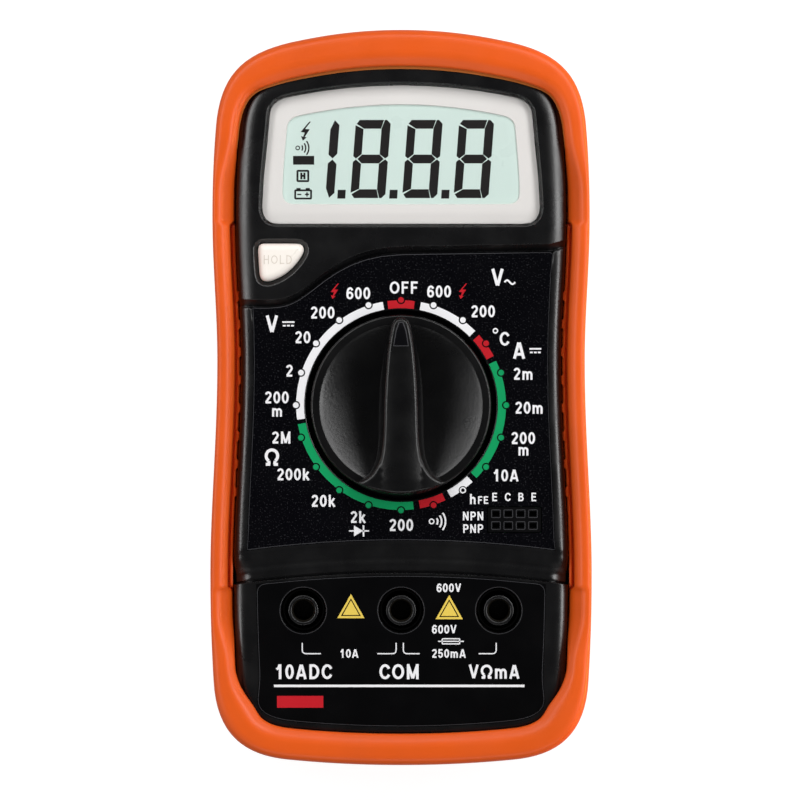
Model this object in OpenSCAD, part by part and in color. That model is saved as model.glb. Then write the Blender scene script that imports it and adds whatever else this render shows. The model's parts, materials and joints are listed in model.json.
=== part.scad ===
// Hand-held digital multimeter in a rubber holster, lying on its back.
// +X right, +Y towards the display, +Z out of the front face. The origin is the centre of the
// holster's flat back. All sizes are in millimetres.

/* [Holster] */
// Width at the lower bulge
holster_w = 74.0; // [73.4:0.2:76]
// Length from end to end
holster_l = 142.8; // [142.4:0.2:146]
// Height of the front rim above the flat back
rim_z = 36.6; // [36.4:0.1:37.4]
// Thickness of the back wall
back_t = 3.0; // [3:0.1:3.1]

/* [Dial] */
// Radius of the knob's round plate
knob_r = 17.6; // [16.8:0.1:17.7]
// Height of the knob's finger bar above the dial panel
bar_h = 7.9; // [6:0.1:9]
// Diameter of each detent ball
ball_d = 3.0; // [2.8:0.1:3]

/* [Jacks] */
// Distance between neighbouring sockets
jack_pitch = 19.0; // [18.8:0.05:19.2]
// Inner radius of the socket sleeve, for a 4 mm plug
jack_r = 2.0; // [1.98:0.01:2.02]
// Depth of the socket sleeve
jack_len = 18.0; // [16:0.5:19]

/* [Stand] */
// Width of the fold-out stand
stand_w = 45.2; // [36:0.2:45.4]
// Length of the stand from its hinge to its foot
stand_l = 69; // [60:1:69]

/* [Hidden] */
$fn = 48;
EPS = 0.02;

// Levels above the flat back
body_z = back_t + 0.1;              // back of the rear case
floor_z = body_z + 2;               // inner floor of the rear case
split_z = 18.1;                     // where the two case halves meet
board_z = 23.4;                     // rear face of the main board
board_top = board_z + 1.6;          // front face of the main board
roof_z = 31.1;                      // inner face of the front wall
dial_floor = 32.8;                  // bed of the dial panel
dial_z = 33.1;                      // top of the dial panel
jack_z = 33.5;                      // top of the jack panel
ridge_z = 34.1;                     // top of the display hood and the side ridges

// Insets from the holster's outline
pocket_in = 4.3;                    // holster's inner wall
case_in = 4.4;                      // outside of both case halves
hollow_in = 6.4;                    // inside of both case halves
tongue_in = 7.3;                    // inside of the front case's tongue
board_in = 7.6;                     // edge of the main board

// Places on the face
dial_y = -1.5;
jack_y = -41.4;
jack_xs = [-jack_pitch, 0, jack_pitch];
arch_r = 230;                       // radius of the arched lines across the face
channel_y = -31.2;                  // middle of the cross channel
channel_w = 2.6;
hold_c = [-23.6, 26.4];             // middle of the hold button

// Dial mechanism
positions = 20;                     // detents in a full turn
crest_r = 21.0;                     // crests of the detent ring
notch_d = 0.5;                      // depth of a detent notch
carrier_r = 20.6;
carrier_z = 26.2;                   // underside of the contact carrier
ball_z = 28.5;
ball_r = ball_d / 2;
ball_x = crest_r - 0.1 - ball_r;    // ball centre when it is pushed in to clear the crests
spring_x = 12.2;                    // closed end of the spring pocket

// Fold-out stand
hinge_y = 19;
hinge_z = 1.6;
peg_r = 1.0;
window_w = stand_w + 1.4;
foot_y = hinge_y - stand_l;

// Screw places, as [x, y]
board_screw_at = [[24, 28], [-12, 29], [-26.4, 8], [26.4, 8], [-10, -54], [10, -54]];
case_screw_at = [[0, 61.6], [-23.5, -53], [23.5, -53]];

// ---------------------------------------------------------------- outlines

// Points of a cubic curve from a to d, without d
function bez(a, b, c, d, n = 5) = [
    for (i = [0 : n - 1])
        let (t = i / n, s = 1 - t)
        s * s * s * a + 3 * s * s * t * b + 3 * s * t * t * c + t * t * t * d
];

// A right half that starts at the top of the centre line, closed by its mirror image
function closed(right, bottom) = concat(
    right, [bottom],
    [for (i = [len(right) - 1 : -1 : 1]) [-right[i][0], right[i][1]]]
);

// The outline stretched to the driving width and length
kx = holster_w / 74;
ky = holster_l / 142.8;
function stretched(pts) = [for (p = pts) [p[0] * kx, p[1] * ky]];

outer_pts = stretched(closed(concat(
    bez([0, 71.4], [8, 71.4], [14, 70.5], [19.4, 69.4]),
    bez([19.4, 69.4], [30, 67.4], [34.6, 63.4], [35.8, 54], 8),
    bez([35.8, 54], [36.3, 49], [36.6, 42], [36.6, 35], 4),
    bez([36.6, 35], [36.6, 25], [35.65, 17], [35.65, 7]),
    bez([35.65, 7], [35.65, -8], [37, -21], [37, -34], 6),
    bez([37, -34], [37, -43], [36.7, -50], [36.4, -55], 4),
    bez([36.4, -55], [35.9, -65.5], [30.5, -69.7], [21.3, -70.4], 8),
    bez([21.3, -70.4], [14, -71.1], [7, -71.4], [0, -71.4], 4)
), [0, -71.4]));

// Inward unit normal at point i of a closed outline that runs clockwise
function inward(pts, i) =
    let (n = len(pts), t = pts[(i + 1) % n] - pts[(i + n - 1) % n])
    [t[1], -t[0]] / norm(t);

// An outline moved inwards by d: a number, or a function of the point and its inward normal
function inset(d, pts = outer_pts) = [
    for (i = [0 : len(pts) - 1])
        let (n = inward(pts, i))
        pts[i] + n * (is_num(d) ? d : d(pts[i], n))
];

function ramp(y, a, b) =
    let (t = min(1, max(0, (y - a) / (b - a))))
    t * t * (3 - 2 * t);

// How far the holster's front lip reaches inwards: most over the ends of the case
lip_in = function (p, n) pocket_in
    + (p[1] > 0 ? 3.1 * ramp(p[1], 36, 44) * pow(abs(n[1]), 1.6) : 0)
    + 2.4 * ramp(-p[1], 51, 62) - 0.6 * ramp(-p[1], 64, 71);

// The jack panel's edge: clear of the side ridges, and close to the lip at the bottom
jack_edge_in = function (p, n) 8.8 - 1.5 * ramp(-p[1], 55, 64);

function arch(y, x0, x1, n = 16) = [
    for (i = [0 : n])
        let (x = x0 + (x1 - x0) * i / n)
        [x, y - x * x / (2 * arch_r)]
];

// The S-shaped lower edge of the display hood, from left to right, moved down by d
function hood_edge(d) = [
    for (p = concat(
        bez([-40, 20], [-35, 19.6], [-28, 18.5], [-23.3, 19.2], 6),
        bez([-23.3, 19.2], [-17, 20.2], [-14, 29], [0, 29.4], 10),
        [[0, 29.4], [40, 30]]
    )) [p[0], p[1] - d]
];

// Symmetric window with an arched top: total height, half widths and corner radius
function screen(top, bottom, half_top, half_bottom, r, drop) = closed(concat(
    bez([0, top], [half_top * 0.36, top], [half_top * 0.68, top - drop * 0.5], [half_top - r, top - drop]),
    bez([half_top - r, top - drop], [half_top - 0.4 * r, top - drop - 0.2 * r],
        [half_top, top - drop - 0.6 * r], [half_top, top - drop - 1.2 * r], 4),
    bez([half_top, top - drop - 1.2 * r], [half_top + 0.3, top - drop - 3 * r],
        [half_bottom, bottom + 3 * r], [half_bottom, bottom + 1.2 * r], 3),
    bez([half_bottom, bottom + 1.2 * r], [half_bottom, bottom + 0.4 * r],
        [half_bottom - 0.4 * r, bottom], [half_bottom - 1.2 * r, bottom], 4),
    [[half_bottom - 1.2 * r, bottom]]
), [0, bottom]);

lens_pts = screen(60.8, 33.7, 25.6, 27.1, 2.8, 2.5);
window_pts = screen(57.1, 37.5, 22.3, 23.2, 2.0, 2.3);

// The hold button: a triangle with round corners
hold_pts = concat(
    [[-26.6, 30]],
    bez([-20.2, 30], [-18.6, 30], [-18.5, 28.6], [-19.1, 27.6], 4),
    bez([-19.1, 27.6], [-20.6, 25], [-22.6, 23.4], [-25, 22.6], 5),
    bez([-25, 22.6], [-26.5, 22.1], [-27.5, 22.5], [-27.6, 24], 4),
    bez([-27.6, 24], [-27.7, 25.5], [-27.8, 27], [-27.9, 28.5], 2),
    bez([-27.9, 28.5], [-27.9, 29.6], [-27.5, 30], [-26.6, 30], 4)
);

// The knob's finger bar seen from above, its sides moved in by d: a narrow pointer with a flared foot
function bar_outline(d) = closed(concat(
    bez([0, 16.8 - d], [1.0, 16.8 - d], [1.6 - d / 2, 16.2 - d], [1.9 - d, 14.8], 3),
    bez([1.9 - d, 14.8], [2.7 - d, 11], [2.95 - d, 4], [3.1 - d, -8], 4),
    bez([3.1 - d, -8], [3.3 - d, -12.4 - d], [4.8 - d, -14 - d], [7.6 - d, -14.1 - d], 5),
    [[7.6 - d, -14.1 - d], [7.0 - d, -15.3 + d]]
), [0, -16.8 + d]);

// Corner-rounded rectangle
function rounded(x0, y0, x1, y1, r, n = 4) = [
    for (c = [[x1 - r, y1 - r, 0], [x0 + r, y1 - r, 90], [x0 + r, y0 + r, 180], [x1 - r, y0 + r, 270]])
        for (i = [0 : n])
            let (a = c[2] + 90 * i / n)
            [c[0] + r * cos(a), c[1] + r * sin(a)]
];

// ---------------------------------------------------------------- building blocks

module slab(pts, z0, z1) {
    translate([0, 0, z0]) linear_extrude(z1 - z0) polygon(pts);
}

module box(x0, y0, z0, x1, y1, z1) {
    translate([x0, y0, z0]) cube([x1 - x0, y1 - y0, z1 - z0]);
}

module post(at, r, z0, z1) {
    translate([at[0], at[1], z0]) cylinder(r = r, h = z1 - z0);
}

// A round bar along +X
module bar_x(at, r, x0, x1) {
    translate([x0, at[0], at[1]]) rotate([0, 90, 0]) cylinder(r = r, h = x1 - x0);
}

// A slab whose outline steps in by each [top level, inset] of a list, from z0 upwards
module stepped(z0, steps) {
    for (i = [0 : len(steps) - 1])
        slab(inset(steps[i][1]), i == 0 ? z0 : steps[i - 1][0], steps[i][0]);
}

// A wire that goes up from its start, across and down again: legs r from the board
module staple(a, b, r, z0, drop) {
    span = norm(b - a);
    turn = atan2(b[1] - a[1], b[0] - a[0]);
    bend = 2.2 * r;
    translate([a[0], a[1], z0]) rotate([0, 0, turn]) {
        for (x = [0, span])
            translate([x, 0, -drop + bend]) cylinder(r = r, h = drop - bend);
        translate([bend, 0, -drop]) rotate([0, 90, 0]) cylinder(r = r, h = span - 2 * bend);
        translate([bend, 0, -drop + bend]) rotate([90, 0, 0])
            rotate_extrude(angle = 90, start = 180) translate([bend, 0]) circle(r = r);
        translate([span - bend, 0, -drop + bend]) rotate([90, 0, 0])
            rotate_extrude(angle = 90, start = 270) translate([bend, 0]) circle(r = r);
    }
}

// Pan-head screw, head downwards, with its head's underside at z
module screw(at, z, head_r, head_h, shaft_r, shaft_l) {
    post(at, head_r, z - head_h, z);
    post(at, shaft_r, z - EPS, z + shaft_l);
}

// Half width of the case at height y
case_right = [for (p = inset(case_in)) if (p[0] > 20) [-p[1], p[0]]];
function case_x(y) = lookup(-y, case_right);

// Grip grooves down both sides of the case, which the holster's inner lip follows
grip_ys = [for (i = [0 : 7]) 19.7 - 5.43 * i];
module grip_teeth(depth, half, z0, z1) {
    for (side = [-1, 1], y = grip_ys)
        translate([side * (case_x(y) + case_in - pocket_in), y, z0])
            linear_extrude(z1 - z0)
                polygon([[side * 0.4, half + 0.2], [side * 0.4, -half - 0.2], [-side * depth, 0]]);
}

// ---------------------------------------------------------------- holster and stand

module holster() color("darkorange") {
    band_top = 33.6;
    band_bottom = -37;
    difference() {
        union() {
            difference() {
                stepped(0, [[0.8, 1.4], [2.2, 0.5], [33.6, 0], [34.9, 0.35], [35.8, 1.0], [rim_z, 2.0]]);
                slab(inset(pocket_in), back_t, ridge_z + 0.1);
                slab(inset(lip_in), ridge_z, rim_z + 1);
                // gutter inside the raised side bands
                intersection() {
                    difference() {
                        slab(inset(3.3), 31.6, rim_z + 1);
                        slab(inset(3.8), 31, rim_z + 2);
                    }
                    box(-50, band_bottom, 31, 50, band_top, rim_z + 1);
                }
                // the thin inner lip beside the gutter ends level with the case
                intersection() {
                    difference() {
                        slab(inset(3.3), ridge_z, rim_z + 1);
                        slab(inset(pocket_in + 0.2), ridge_z - 1, rim_z + 2);
                    }
                    box(-50, band_bottom, 31, 50, band_top, rim_z + 1);
                }
            }
            grip_teeth(0.6, 0.8, 22, ridge_z);
        }
        // pocket that holds the folded stand, with a finger notch at its foot
        slab(rounded(-window_w / 2, foot_y - 1, window_w / 2, hinge_y + 2.2, 2.5), -1, back_t + 1);
        post([0, foot_y - 1], 9, -1, back_t + 1);
        bar_x([hinge_y, hinge_z], peg_r + 0.06, -window_w / 2 - 3.2, window_w / 2 + 3.2);
        // shallow field that leaves a flat rest rim all round
        difference() {
            slab(inset(9), -1, 0.4);
            slab(rounded(-window_w / 2 - 4.5, foot_y - 14, window_w / 2 + 4.5, hinge_y + 6, 4), -2, 1);
        }
    }
}

module tilt_stand() color("orange") {
    half = stand_w / 2;
    difference() {
        union() {
            slab(rounded(-half, foot_y, half, hinge_y, 2), 0.5, 2.3);
            box(-half, hinge_y - 3, 0.5, half, hinge_y, 2.7);
            bar_x([hinge_y, hinge_z], 1.35, -half, half);
            bar_x([hinge_y, hinge_z], peg_r, -half - 3, half + 3);
            // stiffening ribs
            for (x = [-half + 3, half - 4.2])
                box(x, foot_y + 4, 0.5, x + 1.2, hinge_y, 2.7);
        }
        slab(rounded(-13, foot_y + 14, 13, hinge_y - 17, 4), 0, 4);
    }
}

// ---------------------------------------------------------------- case halves

module rear_case() color("black") difference() {
    union() {
        difference() {
            stepped(body_z, [[body_z + 0.7, case_in + 1.3], [body_z + 1.8, case_in + 0.4], [split_z - EPS, case_in]]);
            slab(inset(hollow_in), floor_z, split_z + 1);
        }
        for (at = case_screw_at) post(at, 3.6, floor_z - EPS, split_z - EPS);
        // battery walls and the ring that holds the buzzer
        box(-22, 29.2, floor_z - EPS, 24, 30.4, 16);
        box(25.0, 33, floor_z - EPS, 26.2, 54, 16);
        difference() {
            post([0, -8], 12.2, floor_z - EPS, floor_z + 1.6);
            post([0, -8], 10.4, floor_z - 1, floor_z + 3);
        }
    }
    for (at = case_screw_at) {
        post(at, 1.65, 0, split_z + 1);
        post(at, 3.0, 0, body_z + 3);
    }
    grip_teeth(0.72, 0.95, 21.5, ridge_z);
}

// One socket well in the front wall: shroud, floor and the collar that ends over the sleeve
well_r = 4.3;
collar_r = 3.0;
well_floor = 26.6;
collar_top = 32.6;

module well_solid(x) {
    post([x, jack_y], well_r + 1.2, board_top + 0.2, dial_z - EPS);
}

module well_cut(x) {
    difference() {
        post([x, jack_y], well_r, well_floor, 40);
        post([x, jack_y], collar_r, well_floor - 1, collar_top);
    }
    post([x, jack_y], jack_r + 0.2, board_top - 1, 40);
    post([x, jack_y], jack_r + 0.57, board_top - 1, collar_top - 1.0);
}

module dial_panel_2d(gap) {
    intersection() {
        polygon(inset(6.9 + gap));
        polygon(concat(hood_edge(1.4 + gap), [for (p = arch(-27.9 + gap, 40, -40)) p]));
    }
}

module jack_panel_2d(gap) {
    edge = function (p, n) jack_edge_in(p, n) + gap;
    intersection() {
        polygon(inset(edge));
        polygon(concat(arch(-34.5 - gap, -40, 40), [[40, -80], [-40, -80]]));
    }
}

module detent_ring() {
    difference() {
        translate([0, dial_y, carrier_z]) cylinder(r = crest_r + 2.5, h = roof_z - carrier_z + EPS);
        translate([0, dial_y, 0]) cylinder(r = crest_r, h = roof_z);
        for (i = [0 : positions - 1])
            translate([0, dial_y, carrier_z - 1]) rotate([0, 0, i * 360 / positions])
                translate([crest_r + notch_d - ball_r - 0.05, 0, 0]) cylinder(r = ball_r + 0.05, h = 4.2);
    }
}

module front_case() color("black") difference() {
    union() {
        difference() {
            stepped(split_z, [
                [30.9, case_in], [32.2, case_in + 0.35], [33.2, case_in + 0.95], [ridge_z, case_in + 1.9]
            ]);
            slab(inset(hollow_in), split_z - 1, roof_z);
        }
        // tongue that lines up the two halves
        difference() {
            union() {
                slab(inset(hollow_in - 0.2), split_z, split_z + 2);
                slab(inset(hollow_in + 0.1), split_z - 1.5, split_z + 1);
            }
            slab(inset(tongue_in), split_z - 2, split_z + 3);
        }
        detent_ring();
        for (x = jack_xs) well_solid(x);
        for (at = board_screw_at) post(at, 2.4, board_top + EPS, roof_z + EPS);
        for (at = case_screw_at) post(at, 2.8, split_z + EPS, roof_z + EPS);
    }
    translate([0, 0, dial_floor]) linear_extrude(5) dial_panel_2d(0);
    translate([0, 0, jack_z - 0.3]) linear_extrude(5) jack_panel_2d(0);
    // cross channel between the dial and the jacks
    slab(concat(arch(channel_y + channel_w / 2, -40, 40), arch(channel_y - channel_w / 2, 40, -40)), 32.9, 40);
    // groove under the display hood
    slab(concat(hood_edge(0), [for (i = [17 : -1 : 0]) hood_edge(1.4)[i]]), 33.1, 40);
    // display opening with its ledge
    slab(inset(-0.1, lens_pts), 31.9, 40);
    slab(inset(-1.2, window_pts), roof_z - 1, 40);
    slab(inset(-0.15, hold_pts), roof_z - 1, 40);
    post([0, dial_y], 18.1, roof_z - 1, 40);
    for (x = jack_xs) well_cut(x);
    box(16.75, -26.3, roof_z - 1, 27.35, -21.2, 40);
    for (at = board_screw_at) post(at, 1.0, board_top - 1, roof_z);
    for (at = case_screw_at) {
        post(at, 1.45, split_z - 1, roof_z - 1);
        // room in the tongue for the rear case's screw tower
        post(at, 3.75, split_z - 2, split_z);
    }
    grip_teeth(0.72, 0.95, 21.5, ridge_z + 1);
}

module dial_panel() color("black") difference() {
    translate([0, 0, dial_floor]) linear_extrude(dial_z - dial_floor) dial_panel_2d(0.05);
    post([0, dial_y], 18.7, 30, 40);
    box(16.75, -26.3, 30, 27.35, -21.2, 40);
}

module jack_panel() color("black") difference() {
    translate([0, 0, jack_z - 0.3]) linear_extrude(0.3) jack_panel_2d(0.05);
    for (x = jack_xs) post([x, jack_y], well_r + 0.2, 30, 40);
}

// ---------------------------------------------------------------- display

module display_lens() color("white", 0.35) {
    slab(lens_pts, 32.2, 34.0);
    slab(inset(0.4, lens_pts), 34.0 - EPS, 34.4);
}

module display_mask() color("gainsboro") difference() {
    slab(inset(0.1, lens_pts), 31.93, 32.17);
    slab(window_pts, 31, 33);
}

lcd_x = 24.6;
lcd_y0 = 34.8;
lcd_y1 = 57.6;
ledge_y = lcd_y0 + 2.3;
glass_z = 27.6;

module lcd_rear_glass() color("lightcyan") box(-lcd_x, ledge_y, glass_z, lcd_x, lcd_y1, glass_z + 1.1);

module lcd_front_glass() color("lightcyan")
    box(-lcd_x, lcd_y0, glass_z + 1.1 + EPS, lcd_x, lcd_y1, glass_z + 2.2);

module lcd_polariser() color("honeydew")
    box(-lcd_x + 0.5, ledge_y, glass_z + 2.2 + EPS, lcd_x - 0.5, lcd_y1 - 0.5, glass_z + 2.45);

module lcd_reflector() color("silver")
    box(-lcd_x + 0.5, ledge_y + 0.5, glass_z - 0.22, lcd_x - 0.5, lcd_y1 - 0.5, glass_z - EPS);

module lcd_frame() color("whitesmoke") difference() {
    slab(rounded(-26, 33.4, 26, 58.8, 1), board_top + EPS, 30.6);
    // the glass drops in from the front and rests on a ledge
    box(-lcd_x - 0.1, lcd_y0 - 0.1, glass_z - 0.25, lcd_x + 0.1, lcd_y1 + 0.1, 31);
    box(-lcd_x + 1.6, ledge_y + 1.4, 20, lcd_x - 1.6, lcd_y1 - 1.5, 31);
    box(-lcd_x + 1, lcd_y0 + 0.2, 20, lcd_x - 1, ledge_y - 0.1, 31);
}

module zebra_strip() color("pink")
    box(-lcd_x + 1.2, lcd_y0 + 0.3, board_top + EPS, lcd_x - 1.2, ledge_y - 0.2, glass_z + 1.1);

// ---------------------------------------------------------------- dial

plate_top = 34.6;
dish_r = 15.8;                      // edge of the dished cheeks
dish_d = 2.1;                       // depth of the dish
module dial_knob() color("black") translate([0, dial_y, 0]) difference() {
    union() {
        // round plate with a dished top
        rotate_extrude($fn = 96) polygon(concat(
            [[0, roof_z - 0.1], [knob_r, roof_z - 0.1], [knob_r, plate_top - 0.5], [knob_r - 0.5, plate_top]],
            [for (i = [5 : -1 : 0]) [dish_r * i / 5, plate_top - dish_d * (1 - pow(i / 5, 2))]]
        ));
        // finger bar, narrower at its top edge
        slab(bar_outline(0), roof_z + 0.4, dial_z + bar_h - 0.7);
        slab(bar_outline(0.35), dial_z + bar_h - 0.7, dial_z + bar_h);
        // hub and its drive key
        translate([0, 0, carrier_z + 0.1]) cylinder(r = 4.0, h = 6);
        box(-6, -1.2, carrier_z + 0.1, 6, 1.2, roof_z);
    }
    translate([0, 0, 20]) cylinder(r = 1.3, h = 12);
    // pointer mark
    slab([[0, 16.6], [1.25, 11.8], [-1.25, 11.8]], dial_z + bar_h - 0.5, 60);
}

module contact_carrier() color("ivory") translate([0, dial_y, 0]) difference() {
    translate([0, 0, carrier_z]) cylinder(r = carrier_r, h = roof_z - 0.2 - carrier_z);
    translate([0, 0, 20]) cylinder(r = 4.06, h = 20);
    box(-6.1, -1.3, 20, 6.1, 1.3, 40);
    for (side = [0, 180])
        rotate([0, 0, side]) bar_x([0, ball_z], ball_r + 0.05, spring_x, carrier_r + 1);
}

// Three bowed strips under the carrier, 120 degrees apart
module wiper_contacts() color("gold") translate([0, dial_y, 0])
    for (i = [0 : 2])
        rotate([0, 0, 90 + 120 * i]) translate([0, 1.1, 0]) rotate([90, 0, 0]) linear_extrude(2.2)
            polygon([
                [7.2, 26.18], [19.4, 26.18], [19.4, 25.95], [18.6, 25.95], [17.6, 25.09], [16.6, 25.09],
                [15.6, 25.95], [13.0, 25.95], [12.0, 25.09], [11.0, 25.09], [10.0, 25.95], [7.2, 25.95]
            ]);

module knob_screw() color("silver") screw([0, dial_y], carrier_z + 0.05, 2.6, 1.5, 1.25, 5.5);

// Two coil springs, one behind each ball
module detent_springs() color("silver") translate([0, dial_y, 0])
    for (side = [0, 180])
        rotate([0, 0, side])
            for (x = [spring_x + 0.4 : 0.9 : ball_x - ball_r - 0.3])
                translate([x, 0, ball_z]) rotate([0, 90, 0])
                    rotate_extrude() translate([1.05, 0]) circle(r = 0.25, $fn = 16);

module detent_ball(side) color("silver")
    translate([side * ball_x, dial_y, ball_z]) sphere(r = ball_r);

// ---------------------------------------------------------------- hold button and switch

module hold_button() color("ivory") {
    slab(inset(0.1, hold_pts), roof_z - 0.5, 34.9);
    slab(inset(0.5, hold_pts), 34.9 - EPS, 35.3);
    slab(inset(-0.8, hold_pts), roof_z - 1.3, roof_z - 0.1);
}

module hold_plunger() color("red") post(hold_c, 1.6, 26.6, roof_z - 1.3 - EPS);

module hold_switch() color("darkslategray") difference() {
    box(hold_c[0] - 3, hold_c[1] - 3, board_top + EPS, hold_c[0] + 3, hold_c[1] + 3, 28.4);
    post(hold_c, 1.66, 25.4, 30);
}

// ---------------------------------------------------------------- transistor socket

socket_c = [22.05, -23.75];
socket_xs = [-3.6, -1.2, 1.2, 3.6];
socket_ys = [-1.15, 1.15];

module socket_slots(grow, z0, z1) {
    for (x = socket_xs, y = socket_ys)
        box(socket_c[0] + x - 0.65 - grow, socket_c[1] + y - 0.45 - grow, z0,
            socket_c[0] + x + 0.65 + grow, socket_c[1] + y + 0.45 + grow, z1);
}

module transistor_socket() color("black") difference() {
    box(socket_c[0] - 5.15, socket_c[1] - 2.4, board_top + EPS, socket_c[0] + 5.15, socket_c[1] + 2.4, 33.3);
    socket_slots(0, board_top + 1, 40);
}

module transistor_contacts() color("gold") difference() {
    socket_slots(-0.03, board_top + 1 + EPS, 29.5);
    socket_slots(-0.2, board_top + 1.4, 40);
}

// ---------------------------------------------------------------- sockets for the test leads

sleeve_top = collar_top - 1.05;
module jack_sleeve(x) color("gold") difference() {
    union() {
        post([x, jack_y], jack_r + 0.5, sleeve_top - jack_len, sleeve_top);
        post([x, jack_y], jack_r + 1.3, board_z - 1.2, board_z - EPS);
    }
    post([x, jack_y], jack_r, 0, 40);
}

// ---------------------------------------------------------------- main board and its parts

module main_board() color("darkgreen") difference() {
    slab(inset(board_in), board_z, board_top);
    for (x = jack_xs) post([x, jack_y], jack_r + 0.6, 20, 30);
    for (at = board_screw_at) post(at, 1.3, 20, 30);
    for (at = case_screw_at) post(at, 3.1, 20, 30);
    post([0, dial_y], 3.2, 20, 30);
}

// Ring and pads that the wipers slide on
module switch_tracks() color("goldenrod") translate([0, dial_y, board_top]) {
    difference() {
        cylinder(r = 12.8, h = 0.05);
        translate([0, 0, -1]) cylinder(r = 10.2, h = 2);
    }
    for (i = [0 : positions - 1])
        rotate([0, 0, i * 360 / positions]) box(15.6, -1.7, 0, 18.6, 1.7, 0.05);
}

// Black blob of resin over the bare chip
module converter_chip() color("black") translate([0, 24, board_z - EPS]) mirror([0, 0, 1])
    rotate_extrude($fn = 96) polygon(concat([[0, 0]], [for (i = [0 : 5]) [9 * cos(18 * i), 1.7 * sin(18 * i)]]));

fuse_y = -27;
fuse_z = 18.6;
module fuse_glass() color("white", 0.4) difference() {
    bar_x([fuse_y, fuse_z], 2.3, -8, 8);
    bar_x([fuse_y, fuse_z], 1.7, -9, 9);
}

module fuse_caps() color("silver")
    for (side = [0, 180])
        translate([0, fuse_y, 0]) rotate([0, 0, side]) difference() {
            bar_x([0, fuse_z], 2.6, 4.6, 10);
            bar_x([0, fuse_z], 2.33, 4, 9.2);
        }

module fuse_clips() color("silver")
    for (x = [-8.2, 5.2]) difference() {
        box(x, fuse_y - 3.1, fuse_z - 2, x + 3, fuse_y + 3.1, board_z - EPS);
        bar_x([fuse_y, fuse_z], 2.63, x - 1, x + 4);
        box(x - 1, fuse_y - 2.2, fuse_z - 3, x + 4, fuse_y + 2.2, fuse_z);
    }

module shunt_wire() color("peru") staple([-12, -48], [-6, -48], 0.8, board_z - EPS, 11);

module trimmer() color("royalblue") difference() {
    box(14, 14, board_z - 4.2, 20.5, 20.5, board_z - EPS);
    box(15, 16.9, board_z - 5, 19.5, 17.6, board_z - 3.6);
}

module resistors() color("tan")
    for (i = [0 : 5], side = [-1, 1]) {
        x = side * (8 + (i % 3) * 5.4);
        y = i < 3 ? 8 : -16;
        translate([x, y, board_z - 1.5]) rotate([90, 0, 0]) cylinder(r = 1.1, h = 6, center = true);
        staple([x, y - 4.4], [x, y + 4.4], 0.3, board_z - EPS, 1.8);
    }

module film_capacitors() color("gold")
    for (at = [[-20, 20], [-16, -36], [8, -35]])
        slab(rounded(at[0] - 3.6, at[1] - 1.6, at[0] + 3.6, at[1] + 1.6, 0.6), board_z - 7.5, board_z - EPS);

module electrolytic_capacitor() color("midnightblue")
    translate([19, -8, board_z - 11]) cylinder(r = 2.5, h = 11 - EPS);

buzzer_c = [0, -8];
module buzzer_disc() color("gold") post(buzzer_c, 10, floor_z + EPS, floor_z + 0.3);
module buzzer_ceramic() color("ivory") post(buzzer_c, 7, floor_z + 0.3 + EPS, floor_z + 0.55);
module buzzer_leads() color("black")
    for (x = [-8.6, 3]) post([x, buzzer_c[1]], 0.45, floor_z + 0.6, board_z - EPS);

// ---------------------------------------------------------------- battery

battery_y0 = 31;
battery_y1 = 57.4;
battery_x0 = -21.6;
battery_x1 = 24.6;
battery_z0 = floor_z + 0.1;
battery_z1 = battery_z0 + 17.3;
stud_ys = [38, 50.4];
stud_z = (battery_z0 + battery_z1) / 2;

module battery() color("slategray")
    translate([battery_x0, 0, 0]) rotate([90, 0, 90]) linear_extrude(battery_x1 - battery_x0)
        polygon(rounded(battery_y0, battery_z0, battery_y1, battery_z1, 1.8));

module battery_studs() color("silver")
    for (y = stud_ys) bar_x([y, stud_z], y == stud_ys[0] ? 2.8 : 3.6, battery_x0 - 2, battery_x0 - EPS);

module battery_snap() color("black") difference() {
    translate([battery_x0 - 3.4, 0, 0]) rotate([90, 0, 90]) linear_extrude(3.1)
        polygon(rounded(battery_y0 + 1, battery_z0 + 3, battery_y1 - 1, battery_z1 - 3, 5));
    for (y = stud_ys) bar_x([y, stud_z], 3.7, battery_x0 - 2.1, battery_x0);
}

module battery_lead(y) {
    z0 = battery_z1 - 3 + EPS;
    translate([battery_x0 - 1.9, y, z0]) cylinder(r = 0.7, h = board_z - EPS - z0);
}

module battery_pad() color("dimgray") box(-16, 34, battery_z1 + EPS, 20, 54, board_z - EPS);

// ---------------------------------------------------------------- fasteners

module board_screws() color("silver")
    for (at = board_screw_at) screw(at, board_z - EPS, 2.2, 1.3, 0.95, 7.2);

module case_screws() color("silver")
    for (at = case_screw_at) screw(at, body_z + 3 - EPS, 2.7, 1.8, 1.4, 19);

// ---------------------------------------------------------------- nodes

holster();
tilt_stand();
rear_case();
front_case();
dial_panel();
jack_panel();
display_lens();
display_mask();
lcd_front_glass();
lcd_rear_glass();
lcd_polariser();
lcd_reflector();
lcd_frame();
zebra_strip();
dial_knob();
contact_carrier();
wiper_contacts();
knob_screw();
detent_springs();
detent_ball(-1);  // detent_ball_left
detent_ball(1);  // detent_ball_right
hold_button();
hold_plunger();
hold_switch();
transistor_socket();
transistor_contacts();
jack_sleeve(jack_xs[0]);  // jack_sleeve_left
jack_sleeve(jack_xs[1]);  // jack_sleeve_centre
jack_sleeve(jack_xs[2]);  // jack_sleeve_right
main_board();
switch_tracks();
converter_chip();
fuse_glass();
fuse_caps();
fuse_clips();
shunt_wire();
trimmer();
resistors();
film_capacitors();
electrolytic_capacitor();
buzzer_disc();
buzzer_ceramic();
buzzer_leads();
battery();
battery_studs();
battery_snap();
color("red") battery_lead(46);  // battery_lead_red
color("black") battery_lead(42);  // battery_lead_black
battery_pad();
board_screws();
case_screws();
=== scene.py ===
"""Looks of a digital multimeter lying on its back: smooth shells, printed scale, display and finishes."""

import json
import math

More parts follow.
